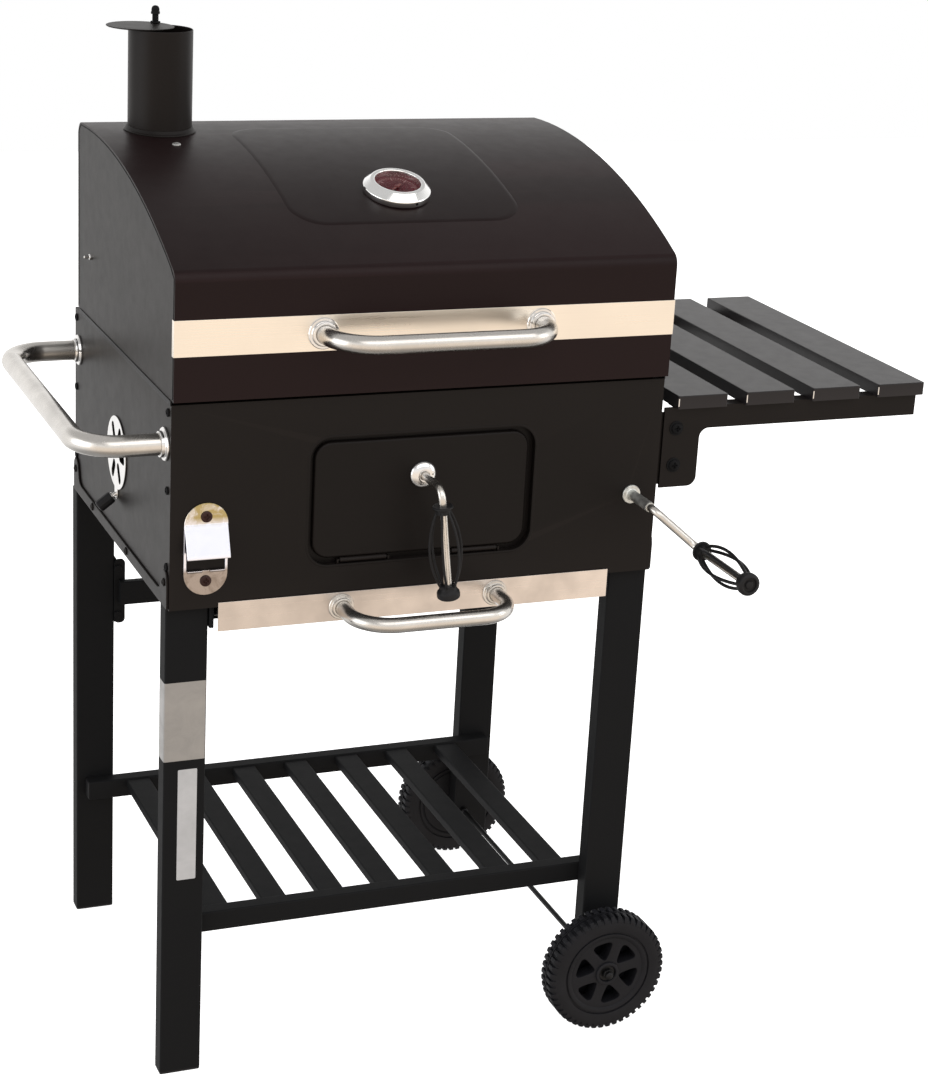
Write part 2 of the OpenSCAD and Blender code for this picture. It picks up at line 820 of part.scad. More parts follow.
// Domed bezel and cup, with a probe stem that passes through the lid
module thermometer_case() part(chrome) on_thermometer() {
    difference() {
        rotate_extrude() polygon([[0, 0.1], [thermo_r - 3, 0.1], [thermo_r, 3], [thermo_r, 6],
                                  [thermo_r - 2, 11], [thermo_r - 8, 15], [0, 15]]);
        rod_z([0, 0, 6], thermo_r - 10, 20);
        rod_z([0, 0, 4], 1 + run_gap, 4);
    }
    rod_z([0, 0, -60], 3.8, 61);
    rod_z([0, 0, -8], 9, 5);
}

module thermometer_dial() part("#f2f0ea") on_thermometer() difference() {
    rod_z([0, 0, 6], thermo_r - 10 - run_gap, 0.8);
    rod_z([0, 0, 5], 1 + run_gap, 4);
}

module thermometer_glass() part([0.8, 0.85, 0.9, 0.4]) on_thermometer()
    rod_z([0, 0, 13], thermo_r - 10 - run_gap, 1.2);

// Pointer with its spindle
module thermometer_needle() part("#b01818") on_thermometer() {
    rod_z([0, 0, 4.5], 1, 5);
    translate([0, 0, 8]) rotate([0, 0, needle_rest]) linear_extrude(0.8)
        polygon([[-1.6, -8], [1.6, -8], [0.4, 24], [-0.4, 24]]);
}

// Flue pipe with its base collar, which follows the curved top
module chimney_pipe() part(paint) translate([pipe_x, pipe_y, 0]) {
    difference() {
        rod_z([0, 0, pipe_top - 132], pipe_r, 132);
        rod_z([0, 0, pipe_top - 140], pipe_r - sheet, 150);
    }
    difference() {
        rod_z([0, 0, arc_z + lid_arc_r - 14], pipe_r + 4.5, 18);
        rod_z([0, 0, arc_z], pipe_r - 0.2, 1000);
        translate([-100, arc_y - pipe_y, arc_z]) rotate([0, 90, 0])
            cylinder(r = lid_arc_r, h = 200, $fn = 1440);
    }
}

// Tab in the pipe's mouth with an upright stud, spring and acorn nut for the cap
module chimney_pivot() part(cool_black) translate([pipe_x, pipe_y, 0]) {
    intersection() {
        rod_z([0, 0, pipe_top - 14], pipe_r - sheet, 10);
        union() {
            block([pivot_dx - 9, pivot_dy - 8, pipe_top - 6], [pivot_dx + 9, pipe_r, pipe_top - 4]);
            block([pivot_dx - 9, pipe_r - sheet - 5, pipe_top - 14], [pivot_dx + 9, pipe_r, pipe_top - 4]);
        }
    }
    rod_z([pivot_dx, pivot_dy, pipe_top - 10], 2.5, 22);
    rod_z([pivot_dx, pivot_dy, pipe_top + 0.4 + cap_t + 0.4], 6, 2);
    rod_z([pivot_dx, pivot_dy, pipe_top + 4.2], 4, 9);
    rod_z([pivot_dx, pivot_dy, pipe_top + 13], 5.5, 5);
    translate([pivot_dx, pivot_dy, pipe_top + 18]) sphere(r = 5);
}

// Flat cap that swivels on the stud, shown partly open
module chimney_cap() part(paint) translate([pipe_x + pivot_dx, pipe_y + pivot_dy, pipe_top + 0.4])
    rotate([0, 0, -cap_angle]) difference() {
        rod_z([-pivot_dx, -pivot_dy, 0], cap_r, cap_t);
        rod_z([0, 0, -1], 2.5 + run_gap, 4);
    }

// ---------------------------------------------------------------- fuel door

// Pressed door tray with two rolled hinge barrels at its lower edge, notched at the pin posts
module door_panel() part(paint) {
    difference() {
        union() {
            difference() {
                plate_xz(door_front_y, door_t) door_outline(-door_gap);
                plate_xz(door_front_y + sheet, door_t) door_outline(-door_gap - sheet);
            }
            for (x = [-hook_x, hook_x]) {
                rod_x([x - hook_w / 2, door_axis_y, door_axis_z], 3.2, hook_w);
                block([x - hook_w / 2, door_axis_y - 1, door_axis_z],
                      [x + hook_w / 2, door_axis_y + 1, door_axis_z + 5]);
            }
        }
        for (x = [-hook_x, hook_x])
            rod_x([x - hook_w / 2 - 1, door_axis_y, door_axis_z], door_pin_r + run_gap, hook_w + 2);
        for (x = [-hook_x, hook_x], e = [-1, 1]) {
            post_x = x + e * (hook_w / 2 + 3);
            block([post_x - 2, door_front_y - 1, door_hole_low],
                  [post_x + 2, door_front_y + door_t + 1, door_axis_z + 8]);
        }
        rod_y([0, door_front_y - 1, handle_z], rod_r + run_gap, 10);
    }
}

// Domed washer round the handle's spindle
module door_flange() part(chrome) translate([0, door_front_y, handle_z]) rotate([90, 0, 0]) difference() {
    rotate_extrude() polygon([[0, 0], [16, 0], [16, 2], [13, 5], [9, 7], [0, 7]]);
    translate([0, 0, -1]) cylinder(r = rod_r + run_gap, h = 10);
}

// Rest position of the handle: leaning a little from straight down, about its own spindle
module at_door_handle() {
    translate([0, 0, handle_z]) rotate([0, -handle_lean, 0]) children();
}

// Spindle, bend and shank in one rod, with the latch tongue on its inner end
module door_handle_rod() part(steel) at_door_handle() {
    out_y = -box_y - handle_reach;
    bend = 14;
    rod_y([0, out_y + bend, 0], rod_r, -out_y - bend - 213);
    translate([0, out_y + bend, -bend]) rotate([0, 90, 0]) rotate([0, 0, 180]) elbow(bend, rod_r);
    rod_z([0, out_y, -handle_drop], rod_r, handle_drop - bend);
    block([-46, -217, -6], [3, -214, 6]);
}

module door_grip() part(plastic) at_door_handle()
    translate([0, -box_y - handle_reach, door_grip_len - handle_drop + 2]) wire_grip(door_grip_len);

// ---------------------------------------------------------------- ash drawer

// Open tray with side rims that run on the runners
module ash_tray() part(zinc) {
    front = -box_y - 0.5;
    difference() {
        block([-tray_x, front, tray_low], [tray_x, tray_back_y, tray_high]);
        block([-tray_x + 1, front + 1, tray_low + 1], [tray_x - 1, tray_back_y - 1, tray_high + 1]);
    }
    for (side = [0, 1]) mirror([side, 0, 0])
        block([tray_x, front + 12, tray_rim_z], [runner_x - 1.5, tray_back_y, tray_rim_z + 1.5]);
}

module drawer_front() part(steel)
    block([-drawer_band_x, -box_y - 2, drawer_band_low], [drawer_band_x, -box_y - 0.5, drawer_band_high]);

module drawer_handle() part(steel) translate([0, -box_y - 2, drawer_z]) {
    u_tube(drawer_handle_x, drawer_reach, 45, drawer_handle_r);
    for (x = [-drawer_handle_x, drawer_handle_x]) translate([x, 0, 0]) difference() {
        union() {
            rod_y([0, -3, 0], 15.5, 3);
            rod_y([0, -8, 0], 12, 6);
        }
        rod_y([0, -9, 0], drawer_handle_r - 1, 10);
    }
}

// ---------------------------------------------------------------- crank and pan lift

// Turns a drawing made in the YZ plane round the crank's axis to the arm's rest angle
module at_crank() {
    translate([crank_x, 0, crank_z]) rotate([0, -arm_angle, 0]) children();
}

// Threaded spindle, shank, slanted arm and grip shank in one rod
module crank_rod() part(steel) at_crank() {
    start = -box_y - sleeve_len;
    rod_y([0, start, 0], rod_r, sleeve_len + 12);
    rod_y([0, -box_y + 12, 0], spindle_r, 2 * box_y - 30);
    rod_y([0, box_y - 18, 0], rod_r, 14);
    translate([arm_bend_r, start, 0]) rotate([0, 0, 180]) elbow(arm_bend_r, rod_r, arm_bend);
    translate([arm_bend_r * (1 - cos(arm_bend)), start - arm_bend_r * sin(arm_bend), 0])
        rotate([0, 0, arm_bend]) rod_y([0, -arm_len - lap, 0], rod_r - 0.03, arm_len + 2 * lap);
    translate([crank_throw - arm_bend_r, start - arm_run, 0]) elbow(arm_bend_r, rod_r, arm_bend);
    rod_y([crank_throw, crank_grip_y - grip_len, 0], rod_r, grip_len + collar_step);
}

module crank_grip() part(plastic) at_crank() translate([crank_throw, crank_grip_y, 0])
    rotate([-90, 0, 0]) wire_grip(grip_len);

// Slot at 45 degrees that lifts a pin as the carriage slides forward
module cam_slot(y) {
    r = pan_pin_r + free_gap;
    len = lift_travel * sqrt(2);
    translate([cam_x - 1, y, pan_pin_z]) rotate([45, 0, 0]) {
        translate([0, -0.4, -r]) cube([cam_t + 2, len + 0.8, 2 * r]);
        for (s = [-0.4, len + 0.4]) rod_x([0, s, 0], r, cam_t + 2);
    }
}

// Nut block on the spindle and the plate with the two cam slots
module lift_carriage() part(zinc) difference() {
    union() {
        block([cam_x, pan_pin_y[0] - 15, pan_pin_z - 12], [cam_x + cam_t, pan_pin_y[1] + 95, pan_pin_z + 92]);
        block([cam_x + cam_t, nut_y, crank_z - 14], [crank_x + 17, nut_y + 30, crank_z + 12]);
    }
    for (y = pan_pin_y) cam_slot(y);
    rod_y([crank_x, nut_y - 1, crank_z], spindle_r + run_gap, 32);
}

// Charcoal pan: four walls with a flange turned in at the bottom that the charcoal grate lies
// on, two guide arms and two lift pins
module charcoal_pan() part(cast) {
    difference() {
        block([pan_left, -pan_y, pan_low], [pan_right, pan_y, pan_high]);
        block([pan_left + sheet, -pan_y + sheet, pan_low + sheet],
              [pan_right - sheet, pan_y - sheet, pan_high + 1]);
        block([pan_left + pan_flange, -pan_y + pan_flange, pan_low - 1],
              [pan_right - pan_flange, pan_y - pan_flange, pan_low + 3]);
    }
    for (i = [0, 1]) {
        y = arm_y[i];
        block([pan_right, y, arm_low], [box_x - sheet - 4, y + arm_t, arm_high]);
        block([pan_right, y, pan_low + 10], [pan_right + 4, y + arm_t, arm_high]);
        block([pan_right, i == 0 ? y : pan_y - 12, pan_low + 10],
              [pan_right + 4, i == 0 ? -pan_y + 12 : y + arm_t, pan_high]);
        rod_x([pan_right, pan_pin_y[i], pan_pin_z], pan_pin_r, cam_x + cam_t + 3 - pan_right);
    }
}

// Bar grate that lies on the pan's flange and holds the charcoal
module charcoal_grate() part(cast) {
    x_low = pan_left + 4;
    x_high = pan_right - 4;
    y_half = pan_y - 4;
    low_z = pan_low + sheet;
    count = 17;
    pitch = (x_high - x_low - 20) / count;
    difference() {
        block([x_low, -y_half, low_z], [x_high, y_half, low_z + 4]);
        for (i = [0:count - 1], row = [-1, 1]) {
            x = x_low + 18 + i * pitch;
            low = row < 0 ? -y_half + 14 : 5;
            block([x, low, low_z - 1], [x + pitch - 8, low + y_half - 19, low_z + 5]);
        }
    }
}

// ---------------------------------------------------------------- vent

// Slotted damper disc with its pivot and the tab that carries the knob
module vent_disc() part(chrome) {
    disc_x = -box_x - 2;
    difference() {
        union() {
            plate_yz(disc_x, 1.4) translate([vent_y, vent_z]) {
                circle(r = vent_r);
                translate([-vent_tab_r, -vent_knob_drop]) square([2 * vent_tab_r, vent_knob_drop]);
                translate([0, -vent_knob_drop]) circle(r = vent_tab_r);
            }
            rod_x([disc_x - 1.5, vent_y, vent_z], 7, 1.5);
            rod_x([disc_x, vent_y, vent_z], 3, 8);
        }
        plate_yz(disc_x - 1, 4) translate([vent_y, vent_z]) vent_slots(19, 33, 12);
        rod_x([disc_x - 1, vent_y, vent_z - vent_knob_drop], 2, 4);
    }
}

module vent_knob() part(plastic) translate([-box_x - 2, vent_y, vent_z - vent_knob_drop]) {
    rod_x([-0.5, 0, 0], 2 - run_gap, 1.8);
    rotate([0, -vent_knob_tilt, 0]) {
        rod_x([-8, 0, 0], 1.8, 8);
        rod_x([-27, 0, 0], 7.5, 21);
    }
}

leg_front_left();
leg_front_right();
leg_back_left();
leg_back_right();
leg_feet();
shelf_front_rail();
shelf_back_rail();
shelf_slats();
rear_crossbar();
wheel_axle();
axle_nuts();
firebox_front();
firebox_back();
firebox_left();
firebox_right();
firebox_floor();
drawer_runners();
panel_screws();
push_handle();
push_handle_flanges();
bottle_opener();
table_slats();
table_brackets();
table_angles();
table_bolts();
cooking_grates();
grate_ledges();
crank_bushes();
lift_guides();
lid_hinge_brackets();
lid_shell();
lid_end_left();
lid_end_right();
lid_band();
lid_handle();
lid_handle_flanges();
lid_hinge_leaves();
thermometer_case();
thermometer_dial();
thermometer_glass();
thermometer_needle();
chimney_pipe();
chimney_pivot();
chimney_cap();
door_panel();
door_flange();
door_handle_rod();
door_grip();
ash_tray();
drawer_front();
drawer_handle();
crank_rod();
crank_grip();
lift_carriage();
charcoal_pan();
charcoal_grate();
vent_disc();
vent_knob();
wheel_front();
wheel_back();
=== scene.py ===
import math

import bmesh
import bpy
from mathutils import Matrix, Vector


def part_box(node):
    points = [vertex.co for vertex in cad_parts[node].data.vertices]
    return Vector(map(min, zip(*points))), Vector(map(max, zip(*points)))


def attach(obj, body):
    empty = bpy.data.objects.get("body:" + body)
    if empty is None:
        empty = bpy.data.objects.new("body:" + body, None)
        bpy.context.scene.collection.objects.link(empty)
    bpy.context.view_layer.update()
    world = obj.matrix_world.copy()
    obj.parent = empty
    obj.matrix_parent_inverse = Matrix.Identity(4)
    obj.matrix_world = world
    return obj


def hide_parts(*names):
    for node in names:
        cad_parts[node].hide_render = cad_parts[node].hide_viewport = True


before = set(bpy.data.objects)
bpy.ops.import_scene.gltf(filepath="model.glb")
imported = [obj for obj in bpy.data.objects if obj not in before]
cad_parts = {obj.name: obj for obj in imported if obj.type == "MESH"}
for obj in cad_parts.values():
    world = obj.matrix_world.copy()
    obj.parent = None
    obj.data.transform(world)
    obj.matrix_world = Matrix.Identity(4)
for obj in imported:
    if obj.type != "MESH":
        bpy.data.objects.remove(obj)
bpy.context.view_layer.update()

# ---- frame
# Work is done in millimetres from the firebox's centre line, then moved into the row frame.
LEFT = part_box("firebox_left")[0][0]
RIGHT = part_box("firebox_right")[1][0]
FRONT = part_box("firebox_front")[0][1]
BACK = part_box("firebox_back")[1][1]
TO_ROW = Matrix.Translation(((LEFT + RIGHT) / 2, (FRONT + BACK) / 2, 0)) @ Matrix.Scale(0.001, 4)
TO_MM = TO_ROW.inverted()

WALL_X = 300.0      # outside of the side walls
FRONT_Y = -230.0    # outside of the front wall
LEG_X = 276.0       # middle of the legs
FORWARD = (0, -1, 0)
UP = (0, 0, 1)
ROD_R = 4.75        # bent rods of the door handle and the crank
GRIP_R = 21.0       # widest part of a wire grip


def cad(node):
    """Low and high corner of a CAD node, in the working frame."""
    low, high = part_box(node)
    return TO_MM @ Vector(low), TO_MM @ Vector(high)


# ---- mesh tools
def polar(r, a):
    return r * math.cos(a), r * math.sin(a)


def circle(r, n=32):
    return [polar(r, 2 * math.pi * i / n) for i in range(n)]


def rounded_rect(half_w, half_h, r, n=6):
    """Closed outline of a rounded rectangle, anticlockwise."""
    out = []
    for cx, cy, a0 in ((1, 1, 0), (-1, 1, 90), (-1, -1, 180), (1, -1, 270)):
        for i in range(n + 1):
            x, y = polar(r, math.radians(a0 + 90 * i / n))
            out.append((cx * (half_w - r) + x, cy * (half_h - r) + y))
    return out


def subdivided(outline, step):
    """The same closed outline with no side longer than the step."""
    out = []
    for i, (x, y) in enumerate(outline):
        u, v = outline[(i + 1) % len(outline)]
        n = max(1, math.ceil(math.hypot(u - x, v - y) / step))
        out += [(x + (u - x) * k / n, y + (v - y) * k / n) for k in range(n)]
    return out


def seat(at, direction, up=None):
    """Frame at a point, with its Z along the direction."""
    z = Vector(direction).normalized()
    hint = Vector(up or ((0, 0, 1) if abs(z.z) < 0.9 else (0, 1, 0)))
    x = hint.cross(z).normalized()
    return Matrix.Translation(at) @ Matrix((x, z.cross(x), z)).transposed().to_4x4()


def placed(m, outline, z=0.0):
    """Flat outline at height z of a frame."""
    return [m @ Vector((x, y, z)) for x, y in outline]


def skin(bm, rings, closed=True, cap=(True, True), loop=False):
    """Joins rings of points into a surface."""
    rows = [[bm.verts.new(p) for p in ring] for ring in rings]
    n = len(rows[0])
    for a, b in list(zip(rows, rows[1:])) + ([(rows[-1], rows[0])] if loop else []):
        for i in range(n if closed else n - 1):
            j = (i + 1) % n
            bm.faces.new((a[i], a[j], b[j], b[i]))
    if cap[0] and not loop:
        bm.faces.new(list(reversed(rows[0])))
    if cap[1] and not loop:
        bm.faces.new(rows[-1])


def add_lathe(bm, profile, origin, direction, n=48, up=None):
    """Turns a profile of (radius, height) pairs about an axis."""
    m = seat(origin, direction, up)
    rows = []
    for r, z in profile:
        ring = circle(r, n) if r > 1e-6 else [(0, 0)]
        rows.append([bm.verts.new(p) for p in placed(m, ring, z)])
    for a, b in zip(rows, rows[1:]):
        for i in range(n):
            j = (i + 1) % n
            if len(a) == 1:
                bm.faces.new((a[0], b[j], b[i]))
            elif len(b) == 1:
                bm.faces.new((a[i], a[j], b[0]))
            else:
                bm.faces.new((a[i], a[j], b[j], b[i]))


def arc_path(points, radii):
    """Polyline with its inner corners rounded to the given radii, a point every 5 degrees."""
    pts = [Vector(p) for p in points]
    out = [pts[0]]
    for a, b, c, r in zip(pts, pts[1:], pts[2:], radii):
        u, v = (a - b).normalized(), (c - b).normalized()
        angle = u.angle(v)
        back = r / math.tan(angle / 2)
        centre = b + (u + v).normalized() * (r / math.sin(angle / 2))
        p0, p1 = b + u * back - centre, b + v * back - centre
        sweep = math.pi - angle
        count = max(6, int(math.degrees(sweep) / 5))
        for k in range(count + 1):
            t = k / count
            arm = p0 * math.sin((1 - t) * sweep) + p1 * math.sin(t * sweep)
            out.append(centre + arm / math.sin(sweep))
    return out + [pts[-1]]


def add_tube(bm, path, r, n=28, scale=None):
    """Sweeps a circle along a path, turning its frame as little as possible."""
    path = [Vector(p) for p in path]
    x = None
    rings = []
    for i, p in enumerate(path):
        t = (path[min(i + 1, len(path) - 1)] - path[max(i - 1, 0)]).normalized()
        if x is None:
            x = seat((0, 0, 0), t).to_3x3() @ Vector((1, 0, 0))
        x = (x - t * x.dot(t)).normalized()
        y = t.cross(x)
        rings.append([p + x * u + y * v for u, v in circle(r * (scale[i] if scale else 1.0), n)])
    skin(bm, rings)


def piece(name, bm, material, body, stands_for=(), bevel=0.0, segments=2, angle=30.0, sharp=32.0):
    """Turns millimetre geometry into a finished piece, in the row frame and on its body."""
    if bevel:
        edges = [e for e in bm.edges
                 if len(e.link_faces) == 2 and e.calc_face_angle(0.0) > math.radians(angle)]
        bmesh.ops.bevel(bm, geom=edges, offset=bevel, segments=segments, profile=0.5,
                        affect="EDGES", clamp_overlap=True)
    bm.normal_update()
    bmesh.ops.transform(bm, matrix=TO_ROW, verts=bm.verts)
    mesh = bpy.data.meshes.new(name)
    bm.to_mesh(mesh)
    bm.free()
    mesh.shade_smooth()
    mesh.set_sharp_from_angle(angle=math.radians(sharp))
    obj = bpy.data.objects.new(name, mesh)
    bpy.context.collection.objects.link(obj)
    obj.data.materials.append(material)
    weighted = obj.modifiers.new("even_shading", "WEIGHTED_NORMAL")
    weighted.keep_sharp = True
    weighted.weight = 60
    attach(obj, body)
    if stands_for:
        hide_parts(*stands_for)


def refined(node, material, body, bevel=0.5, segments=2, sharp=32.0):
    """Rebuilds a CAD node's mesh with merged flat faces and rounded edges."""
    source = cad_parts[node]
    bm = bmesh.new()
    bm.from_mesh(source.data)
    bmesh.ops.transform(bm, matrix=source.matrix_world, verts=bm.verts)
    bmesh.ops.transform(bm, matrix=TO_MM, verts=bm.verts)
    bmesh.ops.remove_doubles(bm, verts=bm.verts, dist=0.002)
    bmesh.ops.dissolve_limit(bm, angle_limit=math.radians(1.0), verts=bm.verts, edges=bm.edges,
                             use_dissolve_boundaries=False)
    bmesh.ops.recalc_face_normals(bm, faces=bm.faces)
    piece(node + "_formed", bm, material, body, (node,), bevel=bevel, segments=segments, sharp=sharp)


# ---- materials
class Nodes:
    """A small builder for the node tree of a material or a world."""

    def __init__(self, owner):
        owner.use_nodes = True
        self.tree = owner.node_tree
        self.tree.nodes.clear()

    def put(self, socket, value):
        if isinstance(value, bpy.types.NodeSocket):
            self.tree.links.new(value, socket)
        else:
            socket.default_value = value

    def add(self, kind, sockets=None, **values):
        """Adds a node, sets its properties, then fills its inputs by name or number."""
        n = self.tree.nodes.new(kind)
        for key, value in values.items():
            setattr(n, key, value)
        for key, value in (sockets or {}).items():
            self.put(n.inputs[key], value)
        return n

    def ramp(self, value, low, high, to_low=0.0, to_high=1.0, kind="LINEAR"):
        return self.add("ShaderNodeMapRange", {"Value": value, "From Min": low, "From Max": high,
                                               "To Min": to_low, "To Max": to_high},
                        interpolation_type=kind).outputs["Result"]

    def mul(self, a, b):
        return self.add("ShaderNodeMath", {0: a, 1: b}, operation="MULTIPLY").outputs[0]

    def plus(self, a, b):
        return self.add("ShaderNodeMath", {0: a, 1: b}, operation="ADD").outputs[0]

    def part(self, vector, axis):
        """One of a vector's three parts."""
        return self.add("ShaderNodeSeparateXYZ", {0: vector}).outputs[axis]

    def mix(self, factor, a, b):
        a, b = (c if isinstance(c, bpy.types.NodeSocket) else (*c, 1.0) for c in (a, b))
        return self.add("ShaderNodeMix", {"Factor": factor, "A": a, "B": b},
                        data_type="RGBA").outputs["Result"]


class Finish(Nodes):
    """A material's node tree round one Principled shader."""

    def __init__(self, name):
        self.material = bpy.data.materials.new(name)
        super().__init__(self.material)
        self.bsdf = self.add("ShaderNodeBsdfPrincipled")
        self.add("ShaderNodeOutputMaterial", {0: self.bsdf.outputs[0]})
        self.coords = self.add("ShaderNodeTexCoord").outputs["Object"]

    def set(self, **values):
        for key, value in values.items():
            self.put(self.bsdf.inputs[key.replace("_", " ")], value)
        return self.material

    def stretched(self, scale):
        return self.add("ShaderNodeMapping", {"Vector": self.coords, "Scale": scale}).outputs[0]

    def noise(self, scale, detail, rough, vector=None, distortion=0.0):
        return self.add("ShaderNodeTexNoise",
                        {"Vector": vector or self.coords, "Scale": scale, "Detail": detail,
                                               "Roughness": rough, "Distortion": distortion}).outputs["Fac"]

    def cells(self, scale):
        return self.add("ShaderNodeTexVoronoi", {"Vector": self.coords, "Scale": scale}).outputs["Distance"]

    def bump(self, height, strength, distance, previous=None):
        sockets = {"Height": height, "Strength": strength, "Distance": distance}
        if previous is not None:
            sockets["Normal"] = previous
        return self.add("ShaderNodeBump", sockets).outputs[0]

    def edges(self):
        """1 on convex edges, where a finish wears first."""
        return self.ramp(self.add("ShaderNodeNewGeometry").outputs["Pointiness"], 0.52, 0.6)

    def upward(self):
        """1 on faces that look up, where dust settles."""
        return self.ramp(self.part(self.add("ShaderNodeNewGeometry").outputs["Normal"], "Z"), 0.4, 1.0)


def shade(colour, by):
    return tuple(max(0.0, min(1.0, c * by)) for c in colour)


def powder_coat(name, colour, rough=0.42, specular=0.35, peel=0.05):
    """Baked powder coat: fine orange peel, faint mottling, worn edges and a little dust on top."""
    m = Finish(name)
    grain = m.noise(2600, 2, 0.5)
    specks = m.ramp(m.cells(260), 0.0, 0.09, 1.0, 0.0)
    base = m.mix(m.ramp(m.noise(9, 4, 0.6), 0.3, 0.75), shade(colour, 0.96), shade(colour, 1.04))
    base = m.mix(m.mul(specks, 0.25), base, shade(colour, 2.2))
    base = m.mix(m.mul(m.edges(), 0.35), base, shade(colour, 2.6))
    settled = m.mul(m.upward(), m.ramp(m.noise(35, 5, 0.7), 0.35, 0.75, 0.2, 1.0))
    base = m.mix(m.mul(settled, 0.012), base, (0.30, 0.27, 0.25))
    gloss = m.plus(m.noise(55, 4, 0.6), m.mul(grain, 0.4))
    return m.set(Base_Color=base, Specular_IOR_Level=specular,
                 Roughness=m.ramp(gloss, 0.4, 1.0, rough - 0.02, rough + 0.04),
                 Normal=m.bump(grain, peel * 0.6, 0.00012, m.bump(m.noise(420, 3, 0.6), peel, 0.0004)))


def brushed(name, colour, haze, patch=11.0, painted_light_mix=0.0):
    """Brushed stainless: long fine lines along X and cloudy marks. A painted-light amount darkens the left
    half with painted shade.
    """
    m = Finish(name)
    lines = m.noise(1.0, 4, 0.7, vector=m.stretched((14.0, 5200.0, 5200.0)))
    bands = m.noise(1.0, 3, 0.6, vector=m.stretched((3.0, 420.0, 420.0)))
    clouds = m.noise(patch, 4, 0.55)
    base = m.mix(m.ramp(lines, 0.3, 0.7), shade(colour, 0.96), shade(colour, 1.02))
    base = m.mix(m.mul(m.ramp(clouds, 0.4, 0.75), haze), base, shade(colour, 0.62))
    # painted shade: darker towards the left, fading out before the middle
    if painted_light_mix:
        painted_shade_left = m.ramp(m.part(m.coords, "X"), -0.20, -0.02, 1.0, 0.0)
        base = m.mix(m.mul(painted_shade_left, painted_light_mix), base, shade(colour, 0.55))
    gloss = m.plus(m.mul(bands, 0.6), m.mul(clouds, 0.5))
    return m.set(Base_Color=base, Metallic=1.0, Anisotropic=0.5,
                 Roughness=m.ramp(gloss, 0.35, 0.8, 0.24, 0.36),
                 Normal=m.bump(lines, 0.06, 0.00004))


def satin_steel(name, colour):
    """Satin tube: fine polishing grain, slight waviness and faint clouds."""
    m = Finish(name)
    grain = m.noise(1500, 3, 0.6)
    clouds = m.noise(18, 5, 0.7)
    gloss = m.plus(clouds, m.mul(grain, 0.3))
    return m.set(Base_Color=m.mix(m.ramp(clouds, 0.35, 0.75), shade(colour, 1.04), shade(colour, 0.84)),
                 Metallic=1.0, Roughness=m.ramp(gloss, 0.35, 1.0, 0.18, 0.36),
                 Normal=m.bump(grain, 0.10, 0.00006, m.bump(m.noise(70, 2, 0.5), 0.03, 0.0006)))


def chrome_plate(name, colour=(0.78, 0.77, 0.76), rough=0.09):
    """Bright chrome with swirl marks and tiny pits."""
    m = Finish(name)
    swirl = m.noise(240, 4, 0.7, distortion=2.0)
    pits = m.ramp(m.cells(330), 0.0, 0.07, 1.0, 0.0)
    clouds = m.noise(30, 4, 0.6)
    base = m.mix(m.ramp(clouds, 0.4, 0.75), colour, shade(colour, 0.88))
    base = m.mix(m.mul(pits, 0.5), base, shade(colour, 0.35))
    gloss = m.plus(m.mul(swirl, 0.5), clouds)
    return m.set(Base_Color=base, Metallic=1.0,
                 Roughness=m.ramp(gloss, 0.5, 1.1, rough - 0.04, rough + 0.08),
                 Normal=m.bump(swirl, 0.05, 0.00006))


def opener_plate(name):
    """Bright plating on the bottle opener, coloured by height as painted light: a brass tint at the top end
    and a bluish white hood are painted reflection, the darker browns at the lower end are painted shade
    below the hood; both ends are clouded.
    """
    m = Finish(name)
    height = m.part(m.coords, "Z")
    clouds = m.noise(60, 5, 0.65, distortion=0.8)
    swirl = m.noise(300, 4, 0.7, distortion=2.0)
    # painted light by height: the top end and the lower end each get their own tint
    high = m.ramp(height, 0.700, 0.712)
    low = m.ramp(height, 0.655, 0.648)
    painted_light_mix = m.ramp(m.plus(clouds, m.mul(high, 0.25)), 0.45, 0.75)
    # brass tint at the top and bluish white hood: painted reflection; darker browns at the lower end:
    # painted shade below the hood
    base = m.mix(m.mul(high, painted_light_mix), (0.88, 0.89, 0.98), (0.44, 0.36, 0.17))
    base = m.mix(low, base, m.mix(painted_light_mix, (0.38, 0.33, 0.30), (0.22, 0.18, 0.15)))
    return m.set(Base_Color=base, Metallic=1.0,
                 Roughness=m.ramp(m.plus(swirl, clouds), 0.6, 1.4, 0.12, 0.3),
                 Normal=m.bump(swirl, 0.06, 0.00006, m.bump(clouds, 0.12, 0.0008)))


def zinc_plate(name, colour=(0.42, 0.42, 0.41), rough=0.42):
    """Dull zinc: crystalline patches and a grainy surface."""
    m = Finish(name)
    flakes = m.cells(160)
    grain = m.noise(700, 4, 0.7)
    base = m.mix(m.ramp(flakes, 0.0, 0.8), shade(colour, 0.72), shade(colour, 1.2))
    base = m.mix(m.mul(m.ramp(m.noise(60, 5, 0.7), 0.5, 0.8), 0.4), base, shade(colour, 0.5))
    return m.set(Base_Color=base, Metallic=0.9,
                 Roughness=m.ramp(m.plus(flakes, grain), 0.3, 1.3, rough - 0.1, rough + 0.14),
                 Normal=m.bump(grain, 0.3, 0.00015))


def moulding(name, colour=(0.011, 0.011, 0.012), rough=0.45, grain_size=1100):
    """Matt injection moulding: spark-eroded texture, scuffs and paler rubbed edges."""
    m = Finish(name)
    grain = m.noise(grain_size, 3, 0.6)
    scuff = m.ramp(m.noise(1.0, 5, 0.75, vector=m.stretched((90, 240, 90))), 0.55, 0.8)
    base = m.mix(m.ramp(m.noise(25, 4, 0.6), 0.3, 0.75), shade(colour, 0.85), shade(colour, 1.25))
    base = m.mix(m.mul(scuff, 0.3), base, shade(colour, 2.4))
    base = m.mix(m.mul(m.edges(), 0.3), base, shade(colour, 2.6))
    gloss = m.plus(grain, m.mul(scuff, 0.5))
    return m.set(Base_Color=base, Specular_IOR_Level=0.16,
                 Roughness=m.ramp(gloss, 0.3, 1.2, rough - 0.06, rough + 0.16),
                 Normal=m.bump(grain, 0.25, 0.00018))


